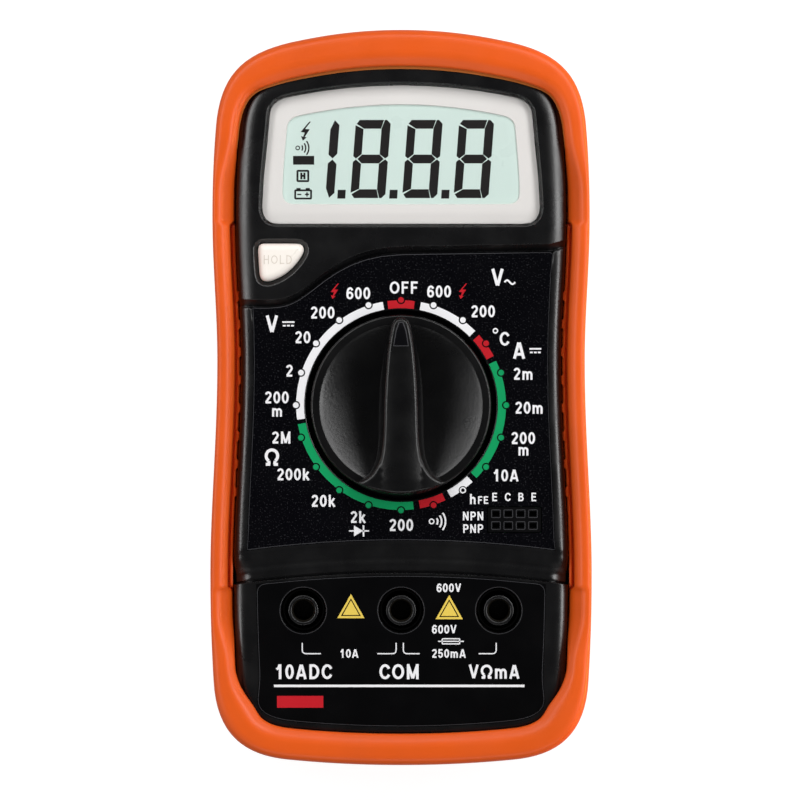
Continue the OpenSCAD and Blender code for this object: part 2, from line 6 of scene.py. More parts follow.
import bpy
import numpy as np
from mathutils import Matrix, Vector
from mathutils.geometry import delaunay_2d_cdt


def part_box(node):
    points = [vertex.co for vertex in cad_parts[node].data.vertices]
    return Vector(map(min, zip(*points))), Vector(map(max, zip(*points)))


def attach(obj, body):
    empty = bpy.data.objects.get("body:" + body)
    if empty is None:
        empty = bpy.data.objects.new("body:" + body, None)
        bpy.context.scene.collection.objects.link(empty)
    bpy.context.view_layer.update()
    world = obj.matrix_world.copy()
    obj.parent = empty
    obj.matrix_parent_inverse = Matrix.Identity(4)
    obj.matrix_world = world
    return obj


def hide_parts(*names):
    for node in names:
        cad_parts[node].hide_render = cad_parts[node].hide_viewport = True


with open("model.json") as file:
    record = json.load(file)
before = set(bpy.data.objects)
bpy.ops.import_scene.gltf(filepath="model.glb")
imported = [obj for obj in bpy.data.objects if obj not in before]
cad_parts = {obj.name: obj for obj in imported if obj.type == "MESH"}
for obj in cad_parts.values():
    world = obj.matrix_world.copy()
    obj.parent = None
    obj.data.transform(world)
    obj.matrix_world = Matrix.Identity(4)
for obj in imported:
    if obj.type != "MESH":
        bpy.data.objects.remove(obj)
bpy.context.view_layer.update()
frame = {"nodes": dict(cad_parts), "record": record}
MM = 0.001
BODY = "meter"
DIAL = "dial"


def box_mm(node):
    """Lowest and highest corner of a CAD node in millimetres."""
    lo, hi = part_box(node)
    return np.array(lo) / MM, np.array(hi) / MM


HOLSTER_LO, HOLSTER_HI = box_mm("holster")
CASE_LO, CASE_HI = box_mm("front_case")
LENS_LO, LENS_HI = box_mm("display_lens")
KNOB_LO, KNOB_HI = box_mm("dial_knob")
BUTTON_LO, BUTTON_HI = box_mm("hold_button")
SOCKET_LO, SOCKET_HI = box_mm("transistor_socket")
STAND_LO, STAND_HI = box_mm("tilt_stand")
RIM_Z = HOLSTER_HI[2]
CASE_TOP = CASE_HI[2]
PANEL_TOP = box_mm("dial_panel")[1][2]
JACKS_TOP = box_mm("jack_panel")[1][2]
DIAL_X = (KNOB_LO[0] + KNOB_HI[0]) / 2
DIAL_Y = (KNOB_LO[1] + KNOB_HI[1]) / 2
CASE_IN = HOLSTER_HI[0] - CASE_HI[0]      # the case's distance in from the holster's outside
PRINT_UP = 0.012                          # how far printed marks stand over their surface
SIDES = ("left", "centre", "right")       # the three sockets


# ---- curves in the plane

def bezier(a, b, c, d, steps=16):
    """Points of a cubic curve, without its last one."""
    a, b, c, d = (np.array(p, float) for p in (a, b, c, d))
    t = (np.arange(steps) / steps)[:, None]
    s = 1 - t
    return s ** 3 * a + 3 * s * s * t * b + 3 * s * t * t * c + t ** 3 * d


def mirrored(right):
    """A closed loop from its right half, which runs from the top to the bottom of the centre line."""
    right = np.array(right)
    left = right[1:-1][::-1] * [-1, 1]
    return np.vstack([right, left])


def resample(loop, spacing=1.0, count=None):
    """The same closed loop with evenly spaced points: so far apart, or so many."""
    pts = np.vstack([loop, loop[:1]])
    run = np.concatenate([[0], np.cumsum(np.linalg.norm(np.diff(pts, axis=0), axis=1))])
    count = count or max(3, int(round(run[-1] / spacing)))
    at = np.linspace(0, run[-1], count + 1)[:-1]
    return np.column_stack([np.interp(at, run, pts[:, k]) for k in range(2)])


def soften(loop, times=2):
    """Rounds off the corners of a closed loop."""
    for _ in range(times):
        nxt = np.roll(loop, -1, axis=0)
        loop = np.stack([loop * 0.75 + nxt * 0.25, loop * 0.25 + nxt * 0.75], axis=1).reshape(-1, 2)
    return loop


def signed_area(loop):
    """Twice the area inside a closed loop, positive when it runs anticlockwise."""
    ahead = np.roll(loop, -1, axis=0)
    return np.sum(loop[:, 0] * ahead[:, 1] - ahead[:, 0] * loop[:, 1])


def inward_normals(loop, smoothing=2):
    """Unit normals of a closed loop that point to its inside."""
    tangent = np.roll(loop, -1, axis=0) - np.roll(loop, 1, axis=0)
    normal = np.column_stack([-tangent[:, 1], tangent[:, 0]]) * np.sign(signed_area(loop))
    for _ in range(smoothing):
        normal = (np.roll(normal, 1, axis=0) + 2 * normal + np.roll(normal, -1, axis=0)) / 4
    return normal / np.linalg.norm(normal, axis=1)[:, None]


def inset(loop, d, smoothing=2):
    """A closed loop moved in by d."""
    return loop + inward_normals(loop, smoothing) * d


def inside(points, loop):
    """True for each point within a closed loop."""
    x, y = points[:, 0], points[:, 1]
    hit = np.zeros(len(points), bool)
    for a, b in zip(loop, np.roll(loop, -1, axis=0)):
        if a[1] == b[1]:
            continue
        crosses = (a[1] > y) != (b[1] > y)
        hit ^= crosses & (x < (b[0] - a[0]) * (y - a[1]) / (b[1] - a[1]) + a[0])
    return hit


def circle(x, y, radius, steps=40):
    """Points round a circle, anticlockwise."""
    a = np.arange(steps) / steps * 2 * math.pi
    return np.column_stack([x + radius * np.cos(a), y + radius * np.sin(a)])


def arc(x, y, radius, start, end, steps=24):
    """Part of a circle, in degrees clockwise from the top."""
    a = np.radians(np.linspace(start, end, steps))
    return np.column_stack([x + radius * np.sin(a), y + radius * np.cos(a)])


def rounded_box(x0, y0, x1, y1, radius, steps=6):
    """An upright rectangle with round corners, clockwise from the top of its right side."""
    r = radius
    corners = ((x1 - r, y1 - r, 0), (x1 - r, y0 + r, 90), (x0 + r, y0 + r, 180), (x0 + r, y1 - r, 270))
    return np.vstack([arc(x, y, r, turn, turn + 90, steps) for x, y, turn in corners])


def box_distance(p, x0, y0, x1, y1):
    """Distance outside an upright rectangle, negative inside."""
    dx = np.maximum(x0 - p[:, 0], p[:, 0] - x1)
    dy = np.maximum(y0 - p[:, 1], p[:, 1] - y1)
    return np.where((dx > 0) & (dy > 0), np.hypot(dx, dy), np.maximum(dx, dy))


def slope(v, a, b):
    """Rises straight from 0 at a to 1 at b, level on both sides."""
    return np.clip((np.asarray(v, float) - a) / (b - a), 0, 1)


def ramp(v, a, b):
    """Like slope, but with a soft start and end."""
    t = slope(v, a, b)
    return t * t * (3 - 2 * t)


def node_loops(node):
    """Outlines of a CAD node's upward faces, longest first, in millimetres."""
    mesh = frame["nodes"][node].data
    spots = [tuple(round(c / MM, 3) for c in v.co) for v in mesh.vertices]
    top = max(p[2] for p in spots)
    sides = {}
    for face in mesh.polygons:
        ring = [spots[i] for i in face.vertices]
        if min(p[2] for p in ring) >= top - 0.01:
            sides.update(dict.fromkeys(zip(ring, ring[1:] + ring[:1])))
    # a side that no neighbour shares lies on an outline
    ahead = {a: b for a, b in sides if (b, a) not in sides}
    loops = []
    while ahead:
        start, here = next(iter(ahead.items()))
        del ahead[start]
        loop = [start]
        while here != start:
            loop.append(here)
            here = ahead.pop(here)
        loops.append(np.array(loop)[:, :2])
    return sorted(loops, key=lambda l: -np.ptp(l[:, 0]))


# The holster's outline, the same curve as the CAD part's
OUTLINE = mirrored(np.vstack([
    bezier([0, 71.4], [8, 71.4], [14, 70.5], [19.4, 69.4]),
    bezier([19.4, 69.4], [30, 67.4], [34.6, 63.4], [35.8, 54]),
    bezier([35.8, 54], [36.3, 49], [36.6, 42], [36.6, 35]),
    bezier([36.6, 35], [36.6, 25], [35.65, 17], [35.65, 7]),
    bezier([35.65, 7], [35.65, -8], [37, -21], [37, -34]),
    bezier([37, -34], [37, -43], [36.7, -50], [36.4, -55]),
    bezier([36.4, -55], [35.9, -65.5], [30.5, -69.7], [21.3, -70.4]),
    bezier([21.3, -70.4], [14, -71.1], [7, -71.4], [0, -71.4]),
    [[0, -71.4]],
]))
OUTLINE *= (HOLSTER_HI[:2] - HOLSTER_LO[:2]) / np.ptp(OUTLINE, axis=0)
OUTLINE = resample(OUTLINE, 0.5)
OUTLINE_IN = inward_normals(OUTLINE, 6)
BATCH = 2000


def outline_at(d):
    """The holster's outline moved in by d."""
    return OUTLINE + OUTLINE_IN * d


def edge_distance(p):
    """How far points lie inside the holster's outline, worked out in batches to save memory."""
    out = np.empty(len(p))
    for first in range(0, len(p), BATCH):
        q = p[first:first + BATCH]
        gap = ((q[:, None, :] - OUTLINE[None, :, :]) ** 2).sum(axis=2)
        near = gap.argmin(axis=1)
        away = q - OUTLINE[near]
        n = OUTLINE_IN[near]
        along = away[:, 0] * n[:, 1] - away[:, 1] * n[:, 0]
        ahead = np.roll(OUTLINE, -1, axis=0)[near] - OUTLINE[near]
        forward = np.sign(along * (ahead[:, 0] * n[:, 1] - ahead[:, 1] * n[:, 0])).astype(int)
        other = (near + forward) % len(OUTLINE)
        share = np.clip(np.abs(along) / np.linalg.norm(ahead, axis=1), 0, 1)[:, None]
        base = OUTLINE[near] * (1 - share) + OUTLINE[other] * share
        n = n * (1 - share) + OUTLINE_IN[other] * share
        n /= np.linalg.norm(n, axis=1)[:, None]
        out[first:first + BATCH] = ((q - base) * n).sum(axis=1)
    return out


# Lower edge of the display hood, from left to right
HOOD = np.vstack([
    bezier([-40, 20], [-35, 19.6], [-28, 18.5], [-23.3, 19.2]),
    bezier([-23.3, 19.2], [-17, 20.2], [-14, 29], [0, 29.4]),
    [[0, 29.4], [29, 29.85], [33, 31.0], [40, 32]],
])


def hood_y(x):
    """The S-shaped lower edge of the display hood."""
    return np.interp(x, HOOD[:, 0], HOOD[:, 1])


def arch_y(x, middle, radius=230):
    """Height of an arched line across the face."""
    return middle - x * x / (2 * radius)


# ---- meshes

def put(name, data):
    """Adds a mesh, light or camera to the scene as an object."""
    obj = bpy.data.objects.new(name, data)
    bpy.context.scene.collection.objects.link(obj)
    return obj


class Shape:
    """Collects patches of surface with their own normals into one mesh. Sizes are in millimetres."""

    def __init__(self):
        self.verts = []
        self.normals = []
        self.faces = []

    def add(self, verts, faces, normals):
        """Points with a normal each, and faces that count from the first of them."""
        base = len(self.verts)
        self.verts += [tuple(v) for v in verts]
        self.normals += [tuple(n) for n in normals]
        self.faces += [tuple(base + i for i in f) for f in faces]

    def grid(self, points, flip=False):
        """A sheet through points[i][j] that closes on itself along i."""
        p = np.asarray(points, float)
        di = np.roll(p, -1, axis=0) - np.roll(p, 1, axis=0)
        dj = np.concatenate([p[:, 1:], p[:, -1:]], axis=1) - np.concatenate([p[:, :1], p[:, :-1]], axis=1)
        n = np.cross(di, dj)
        size = np.linalg.norm(n, axis=2)[:, :, None]
        n = n / np.where(size < 1e-12, 1, size)
        rows, cols = p.shape[:2]
        faces = []
        for i in range(rows):
            for j in range(cols - 1):
                a = i * cols + j
                b = ((i + 1) % rows) * cols + j
                faces.append((a, a + 1, b + 1, b) if flip else (a, b, b + 1, a + 1))
        self.add(p.reshape(-1, 3), faces, (-n if flip else n).reshape(-1, 3))

    def lathe(self, centre, profile, steps=96):
        """A profile of (radius, height) points turned about the vertical; its outside is on its right."""
        a = np.arange(steps) / steps * 2 * math.pi
        r, z = np.array(profile, float).T
        pts = np.stack([
            centre[0] + np.cos(a)[:, None] * r, centre[1] + np.sin(a)[:, None] * r, np.tile(z, (steps, 1))
        ], axis=2)
        self.grid(pts)

    def stack(self, loops, heights, flip=False):
        """A side wall through loops of equal length, each at one height or with a height for each point."""
        rings = [np.column_stack([l, np.broadcast_to(z, len(l))]) for l, z in zip(loops, heights)]
        self.grid(np.stack(rings, axis=1), flip=flip != (signed_area(loops[0]) > 0))

    def cap(self, loop, z):
        """A flat face inside a loop, looking up."""
        order = range(len(loop)) if signed_area(loop) > 0 else range(len(loop) - 1, -1, -1)
        self.flat(loop, [tuple(order)], z)

    def flat(self, points, faces, z):
        """Faces in a level plane, looking up."""
        self.add(np.column_stack([points, np.full(len(points), z)]), faces, [(0, 0, 1)] * len(points))

    def ribbon(self, a, b, z, closed=False):
        """A flat band between two lines of equal length."""
        n = len(a)
        side = np.cross(np.array(a[1]) - a[0], np.array(b[0]) - a[0])
        faces = []
        for i in range(n if closed else n - 1):
            j = (i + 1) % n
            faces.append((i, j, n + j, n + i) if side > 0 else (n + i, n + j, j, i))
        self.flat(np.vstack([a, b]), faces, z)

    def stroke(self, line, width, z, closed=False):
        """A flat line of even width."""
        line = np.array(line, float)
        if closed:
            along = np.roll(line, -1, axis=0) - np.roll(line, 1, axis=0)
        else:
            along = np.gradient(line, axis=0)
        along /= np.linalg.norm(along, axis=1)[:, None]
        across = np.column_stack([-along[:, 1], along[:, 0]]) * width / 2
        self.ribbon(line + across, line - across, z, closed)

    def disc(self, x, y, radius, z, steps=40):
        self.cap(circle(x, y, radius, steps), z)

    def relief(self, lines, loops, outer, holes, height, spacing, below=False, origin=(0, 0, 0)):
        """A surface over the plane: lines and loops are its creases, height gives z at each point."""
        pts, edges = [], []
        for line, closed in [(l, False) for l in lines] + [(l, True) for l in loops]:
            base = len(pts)
            pts += [tuple(q) for q in line]
            edges += [(base + i, base + i + 1) for i in range(len(line) - 1)]
            if closed:
                edges.append((base + len(line) - 1, base))
        lo, hi = outer.min(axis=0), outer.max(axis=0)
        xs = np.arange(lo[0], hi[0], spacing)
        ys = np.arange(lo[1], hi[1], spacing)
        grid = np.array([(x + (spacing / 2 if k % 2 else 0), y) for k, y in enumerate(ys) for x in xs])
        pts += [tuple(q) for q in grid[inside(grid, outer)]]
        out, _, tris, *_ = delaunay_2d_cdt([Vector(q) for q in pts], edges, [], 0, 1e-4)
        xy = np.array([tuple(q) for q in out])
        tris = np.array(tris)
        middle = xy[tris].mean(axis=1)
        keep = inside(middle, outer)
        for hole in holes:
            keep &= ~inside(middle, hole)
        tris = tris[keep]
        used, back = np.unique(tris, return_inverse=True)
        tris = back.reshape(tris.shape)
        xy = xy[used]
        h = 0.04                              # half the distance over which a slope is taken
        z = height(xy)
        sx = (height(xy + [h, 0]) - height(xy - [h, 0])) / (2 * h)
        sy = (height(xy + [0, h]) - height(xy - [0, h])) / (2 * h)
        n = np.column_stack([-sx, -sy, np.ones(len(xy))])
        n /= np.linalg.norm(n, axis=1)[:, None]
        turn = np.cross(xy[tris[:, 1]] - xy[tris[:, 0]], xy[tris[:, 2]] - xy[tris[:, 0]])
        wrong = turn > 0 if below else turn < 0
        tris[wrong] = tris[wrong][:, ::-1]
        if below:
            n = -n
        self.add(np.column_stack([xy, z]) + origin, tris.tolist(), n)

    def piece(self, name, material, body=BODY, stands_for=(), slot=None):
        """Makes the Blender object and fastens it to a CAD body."""
        mesh = bpy.data.meshes.new(name)
        mesh.from_pydata([Vector(v) * MM for v in self.verts], [], self.faces)
        mesh.polygons.foreach_set("use_smooth", [True] * len(mesh.polygons))
        mesh.materials.append(material)
        mesh.normals_split_custom_set_from_vertices(self.normals)
        mesh.update()
        obj = put(name, mesh)
        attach(obj, body)
        if stands_for:
            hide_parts(*stands_for)


def rounded_path(corners, steps=7):
    """A path of (across, up, radius) corners with each corner rounded, always with the same point count."""
    c = np.array([p[:2] for p in corners], float)
    path = [c[0]]
    for i in range(1, len(c) - 1):
        back, ahead = c[i - 1] - c[i], c[i + 1] - c[i]
        room = 0.48 * min(np.linalg.norm(back), np.linalg.norm(ahead))
        a = c[i] + back / np.linalg.norm(back) * min(corners[i][2], room)
        b = c[i] + ahead / np.linalg.norm(ahead) * min(corners[i][2], room)
        for k in range(steps):
            t = k / (steps - 1)
            path.append((1 - t) ** 2 * a + 2 * t * (1 - t) * c[i] + t * t * b)
    path.append(c[-1])
    return np.array(path)


# ---- materials

GRAIN_DEPTH = 0.00006                     # metres
# painted glints: the light specks stand for the sparkle of the label's grain
LABEL_GLINT = (0.09, 0.09, 0.10, 1)              # colour of the label's speckles


def set_inputs(node, values):
    for key, value in values.items():
        node.inputs[key].default_value = value


def material(name, colour, rough, metal=0.0, grain=900.0, bump=0.15, mottle=0.08, alpha=1.0,
             speckle=0.0, spec=0.5, scuff=0.04):
    """A procedural finish: mottled colour, uneven roughness, fine grain and light scuffs, with painted glints
    where speckle is given.
    """
    mat = bpy.data.materials.new(name)
    mat.use_nodes = True
    nt = mat.node_tree
    nt.nodes.clear()
    new, link = nt.nodes.new, nt.links.new
    out = new("ShaderNodeOutputMaterial")
    shader = new("ShaderNodeBsdfPrincipled")
    link(shader.outputs[0], out.inputs[0])
    place = new("ShaderNodeTexCoord")

    def noise(scale, detail):
        node = new("ShaderNodeTexNoise")
        set_inputs(node, {"Scale": scale, "Detail": detail})
        link(place.outputs["Object"], node.inputs["Vector"])
        return node.outputs["Fac"]

    def spread(value, low, high, to_low, to_high):
        node = new("ShaderNodeMapRange")
        set_inputs(node, {"From Min": low, "From Max": high, "To Min": to_low, "To Max": to_high})
        link(value, node.inputs["Value"])
        return node.outputs["Result"]

    def blend(factor, a, b):
        node = new("ShaderNodeMix")
        node.data_type = "RGBA"
        link(factor, node.inputs["Factor"])
        for key, value in ((6, a), (7, b)):
            if isinstance(value, tuple):
                node.inputs[key].default_value = value
            else:
                link(value, node.inputs[key])
        return node.outputs[2]

    def tint(k):
        return tuple(min(1.0, c * k) for c in colour[:3]) + (1,)

    cloud = noise(70, 3)
    base = blend(spread(cloud, 0.3, 0.7, 0, 1), tint(1 - mottle), tint(1 + mottle))
    # painted glints: light specks scattered over the surface for a sparkly grain
    if speckle:
        dots = spread(noise(3200, 1), 0.62, 0.72, 0, speckle)
        base = blend(dots, base, LABEL_GLINT)
    wear = spread(noise(260, 6), 0.66, 0.80, 0, scuff * 4)
    base = blend(wear, base, tint(1.5))
    link(base, shader.inputs["Base Color"])
    link(spread(noise(160, 4), 0.3, 0.7, max(0.02, rough - 0.04), min(1, rough + 0.05)),
         shader.inputs["Roughness"])
    set_inputs(shader, {"Metallic": metal, "Specular IOR Level": spec, "Alpha": alpha})
    relief = new("ShaderNodeBump")
    set_inputs(relief, {"Strength": bump, "Distance": GRAIN_DEPTH})
    link(noise(grain, 4), relief.inputs["Height"])
    link(relief.outputs["Normal"], shader.inputs["Normal"])
    return mat


def printed(name, colour, rough=0.5, mottle=0.04, spec=0.5):
    """Smooth printing ink without scuffs."""
    return material(name, colour, rough, bump=0.05, mottle=mottle, spec=spec, scuff=0)


RUBBER = material("orange_rubber", (0.78, 0.102, 0.008), 0.38, grain=1500, bump=0.2, mottle=0.05, spec=0.35)
PLASTIC = material("orange_plastic", (0.84, 0.11, 0.010), 0.42, grain=1200, bump=0.2, mottle=0.05)
CASE = material("black_case", (0.0016, 0.0016, 0.0020), 0.27, grain=1600, bump=0.18, mottle=0.15, spec=0.7)
KNOB = material("black_knob", (0.0018, 0.0018, 0.0021), 0.29, grain=1700, bump=0.35, mottle=0.15, spec=0.45)
LABEL = material("black_label", (0.0012, 0.0012, 0.0022), 0.23, grain=2600, speckle=0.22, spec=0.18)
PANEL = material("black_panel", (0.0014, 0.0014, 0.0017), 0.23, grain=1500, bump=0.12, spec=0.22)
SOCKET = material("black_socket", (0.0022, 0.0022, 0.0026), 0.3, grain=1200, bump=0.1, spec=0.2)
WHITE = printed("white_print", (0.88, 0.88, 0.90), mottle=0.02)
GREEN = printed("green_print", (0.003, 0.33, 0.110), spec=0.15)
RED = printed("red_print", (0.53, 0.011, 0.020), spec=0.15)
YELLOW = printed("yellow_print", (0.82, 0.60, 0.09))
INK = printed("black_print", (0.002, 0.002, 0.003), 0.3, mottle=0.08, spec=0.2)
FAINT = printed("faint_print", (0.70, 0.62, 0.54), mottle=0.08)
# painted shade: brass darkened to near black, as the sleeves look deep inside the socket bores
SHADED_SLEEVE = material("shade_darkened_sleeve", (0.035, 0.030, 0.022), 0.45, metal=1.0, bump=0.05)
# painted highlight: a dark grey for thin lines that stand for lit edges of the panels, wells, socket holes
# and pointer mark
EDGE_HIGHLIGHT = printed("painted_edge_highlight", (0.035, 0.035, 0.04), mottle=0.08)
# painted highlight: a yellowish orange for the light caught by the lip's inner fillet
LIP_HIGHLIGHT = material("painted_lip_highlight", (0.46, 0.13, 0.015), 0.45, grain=1200, bump=0.1, mottle=0.05)
MASK = material("mask_paint", (0.80, 0.775, 0.75), 0.35, grain=500, bump=0.03, mottle=0.015, scuff=0)
LCD = material("lcd_film", (0.66, 0.80, 0.745), 0.3, grain=500, bump=0.02, mottle=0.01, scuff=0)
SEGMENT = material("lcd_segment", (0.008, 0.006, 0.006), 0.35, bump=0.02, scuff=0, spec=0.2)
LENS = material("clear_lens", (0.3, 0.32, 0.32), 0.04, grain=200, bump=0.01, mottle=0.01, alpha=0.03, scuff=0)
CREAM = material("cream_button", (0.97, 0.91, 0.84), 0.38, grain=900, bump=0.08, mottle=0.02, scuff=0.01)

# Roughness and metalness of the record's material classes
FINISH = {"brushed_steel": (0.34, 1.0), "chrome": (0.1, 1.0), "aluminium": (0.3, 1.0), "brass": (0.3, 1.0),
          "painted_metal": (0.35, 0.2), "rubber": (0.6, 0.0), "matte_plastic": (0.5, 0.0),
          "gloss_plastic": (0.25, 0.0), "fabric": (0.9, 0.0), "glass": (0.06, 0.0)}


def dress_nodes():
    """Gives every CAD node a finish from its record slot, or the piece material of the same name."""
    made = {"orange_rubber": RUBBER, "orange_plastic": PLASTIC, "black_case": CASE, "black_knob": KNOB,
            "black_label": LABEL, "black_socket": SOCKET, "mask_paint": MASK, "lcd_film": LCD,
            "clear_lens": LENS, "cream_button": CREAM}
    slots = {m["slot"]: m for m in frame["record"]["materials"]}
    for part in frame["record"]["subparts"]:
        slot = part["material_slot"]
        if slot not in made:
            rough, metal = FINISH[slots[slot]["class"]]
            colour = slots[slot]["base_color"]
            made[slot] = material(slot, colour, rough, metal=metal, alpha=colour[3] if len(colour) > 3 else 1)
        mesh = frame["nodes"][part["node"]].data
        mesh.materials.clear()
        mesh.materials.append(made[slot])
    frame["nodes"]["jack_panel"].data.materials[0] = PANEL
    # the sleeves get the brass darkened with painted shade
    for side in SIDES:
        frame["nodes"]["jack_sleeve_" + side].data.materials[0] = SHADED_SLEEVE


# ---- holster

GRIP_TOP, GRIP_BOTTOM = 33.8, -37.2       # ends of the raised side bands
POCKET_IN = 4.3                           # inner wall of the holster
BAND_IN = 3.3                             # inner edge of the raised bands
STRIP_Z = 31.6                            # top of the thin inner strip beside the bands
LIP_Z = CASE_TOP + 0.15                   # underside of the lip over the case's ends
BACK_T = 3.0                              # thickness of the holster's back
REST_W = 9.0                              # width of the flat rim round the back
RIBS, RIB_Y, RIB_STEP = 8, 19.7, 5.43     # ribs a side, place of the first one, distance between two
RIB_OUT, RIB_HALF = 0.75, 1.3             # how far a rib stands out, and half its width
PEG_L = 3                                 # how far the stand's pegs stick out of its plate


def lip_in(p, n):
    """How far the lip reaches inwards: most over the ends of the case."""
    y = p[:, 1]
    top = 2.75 * ramp(y, 36, 44) * np.abs(n[:, 1]) ** 1.6
    bottom = 2.4 * ramp(-y, 52, 63.5) - 0.6 * ramp(-y, 64, 71)
    return POCKET_IN + top + bottom


def holster_profiles(lip):
    """Sections through the holster's wall from the back, over the rim and down inside, as (in, up)."""
    wall = [(REST_W, 0, 0), (0, 0, 1.5)]
    inner = [(POCKET_IN, 24, 0)]
    end = [(0, RIM_Z - 0.15, 2.4), (0.7 * lip, RIM_Z, 2.0), (lip, RIM_Z - 1.3, 0.8), (lip, LIP_Z, 0.1),
           (lip - 0.3, LIP_Z, 0.1), (POCKET_IN - 0.05, LIP_Z, 0.1), (POCKET_IN, LIP_Z - 0.4, 0.1)]
    side = [(0, RIM_Z - 0.1, 1.2), (1.7, RIM_Z - 0.3, 1.2), (3.4, RIM_Z - 2.6, 1.6), (3.9, 32.4, 0.3),
            (POCKET_IN - 0.02, 31, 0.1), (POCKET_IN - 0.01, 30.5, 0.1), (POCKET_IN, 30, 0.1)]
    band = [(0, RIM_Z - 0.1, 1.1), (2.0, RIM_Z, 1.6), (BAND_IN, RIM_Z - 1.3, 1.2), (BAND_IN, 30.5, 0.15),
            (3.75, 30.5, 0.15), (3.75, STRIP_Z, 0.2), (POCKET_IN, STRIP_Z - 0.1, 0.2)]
    return [rounded_path(wall + p + inner) for p in (end, side, band)]


def make_holster():
    y = OUTLINE[:, 1]
    at_end = ramp(y, 40, 52) + ramp(-y, 42, 52)
    at_band = ramp(y, GRIP_BOTTOM - 0.4, GRIP_BOTTOM + 0.4) * ramp(-y, -GRIP_TOP - 0.4, -GRIP_TOP + 0.4)
    lips = lip_in(OUTLINE, OUTLINE_IN)
    sections = []
    for i, spot in enumerate(OUTLINE):
        end, side, band = holster_profiles(float(lips[i]))
        mix = end * at_end[i] + side * (1 - at_end[i] - at_band[i]) + band * at_band[i]
        sections.append(np.column_stack([spot + OUTLINE_IN[i] * mix[:, :1], mix[:, 1]]))
    shell = Shape()
    shell.grid(sections, flip=True)
    make_holster_back(shell)
    make_grip_ribs(shell)
    shell.piece("holster_shell", RUBBER, stands_for=("holster",), slot="orange_rubber")
    make_lip_highlight()


def make_lip_highlight():
    """A thin painted highlight along the inner edge of the lip over the display end, for the light its fillet
    catches.
    """
    top = OUTLINE[:, 1] > 48
    start = np.flatnonzero(top & ~np.roll(top, 1))[0]
    run = np.roll(np.arange(len(OUTLINE)), -start)[:top.sum()]
    base, n = OUTLINE[run], OUTLINE_IN[run]
    lips = lip_in(base, n)[:, None]
    fade = np.sin(np.linspace(0, math.pi, len(run)))[:, None] ** 0.5
    edge = Shape()
    edge.ribbon(base + n * lips, base + n * (lips + 0.55 * fade), LIP_Z + 0.05)
    edge.piece("painted_lip_highlight", LIP_HIGHLIGHT)


def make_grip_ribs(shell):
    """A row of small pointed ribs a side on the thin inner lip beside the raised bands."""
    for side in (-1, 1):
        for i in range(RIBS):
            y = RIB_Y - RIB_STEP * i
            near = np.argmin(np.abs(OUTLINE[:, 1] - y) + 100 * (OUTLINE[:, 0] * side < 0))
            x = OUTLINE[near, 0] - side * POCKET_IN
            tip = (x - side * RIB_OUT, y, STRIP_Z + 0.5)
            base = [(x + side * 0.3, y + k * RIB_HALF, STRIP_Z + 0.2) for k in (1, -1)]
            low = [(*b[:2], STRIP_Z - 1) for b in (*base, tip)]
            for a, b, a_low, b_low in ((base[0], tip, low[0], low[2]), (tip, base[1], low[2], low[1])):
                outward = np.array([-side * 0.6, 0.8 if a is base[0] else -0.8, 0])
                quad = [0, 1, 2, 3] if side > 0 else [3, 2, 1, 0]
                shell.add([a, b, b_low, a_low], [tuple(quad)], [outward] * 4)
            shell.add([*base, tip], [(0, 1, 2) if side < 0 else (2, 1, 0)], [(0, 0, 1)] * 3)


def make_holster_back(shell):
    """The back wall: flat rest rim, shallow field, and the window that holds the folded stand."""
    half = STAND_HI[0] - PEG_L + 0.7
    foot, hinge = STAND_LO[1] - 1, STAND_HI[1] + 0.85
    notch = arc(0, foot, 9, 90, 270, 28)
    box = rounded_box(-half, foot, half, hinge, 2.5)
    # the notch for a finger widens the window at the stand's foot
    window = resample(np.vstack([box[:12], notch, box[12:]]), 0.5)
    field = (-half - 4.5, foot - 13, half + 4.5, hinge + 3.8)

    def height(p):
        outside = ramp(edge_distance(p), REST_W, REST_W + 0.6) * ramp(box_distance(p, *field), 0, 0.6)
        near = box_distance(p, -half - 2, foot - 12, half + 2, hinge + 2) < 0
        dip = np.zeros(len(p))
        dip[near] = soft_opening(p[near], window, 0.5, 0.6)
        return 0.4 * outside + dip

    rings = [resample(outline_at(REST_W + e)) for e in (0, 0.2, 0.4, 0.6)]
    rings += [resample(inset(window, -e, 0), 0.6) for e in (0, 0.15, 0.3, 0.6)]
    x0, y0, x1, y1 = field
    rings += [resample(rounded_box(x0 - e, y0 - e, x1 + e, y1 + e, 0.1 + e), 1.5) for e in (0.1, 0.3, 0.6)]
    shell.relief([], rings, rings[0], [window], height, 2.0, below=True)
    shell.stack([window, window], [BACK_T, 0.5], flip=True)


# ---- front case

ROLL_W, ROLL_H = 3.9, 1.25                # how the face rolls off to its outside
EDGE_W, EDGE_H = 0.7, 1.2                 # the tighter rounding down to the side wall
FACE_Z = JACKS_TOP - 0.1                  # face level around the two panels
CHANNEL_Y, CHANNEL_HALF = -31.7, 2.2      # the channel across the face
KNOB_HOLE = 18.65                         # radius of the knob's opening
# Where the face has creases: in from the case's edge, below the hood, and across the channel
EDGE_CREASES = (0.02, 0.08, 0.2, 0.4, 0.7, 1.0, 1.3, 1.6, 1.9, 2.2, 2.9, 3.4, 3.9)
HOOD_CREASES = (-0.04, 0, 0.04, 1.21, 1.25, 1.4, 1.6)
CHANNEL_CREASES = (-1.7, -1.5, -1.3, -0.9, -0.45, -0.2, 0, 0.25, 0.5, 0.9, 0.95, 1.0, 1.03, 1.09, 1.11, 1.13)

PANEL_LOOPS = node_loops("dial_panel")
JACK_LOOPS = node_loops("jack_panel")
LENS_LOOP = resample(soften(node_loops("display_lens")[0], 3), 0.5)
LENS_HOLE = inset(LENS_LOOP, -0.45)
MASK_LOOPS = node_loops("display_mask")
BUTTON_LOOP = resample(soften(node_loops("hold_button")[0], 3), 0.35)
BUTTON_HOLE = inset(BUTTON_LOOP, -0.6)


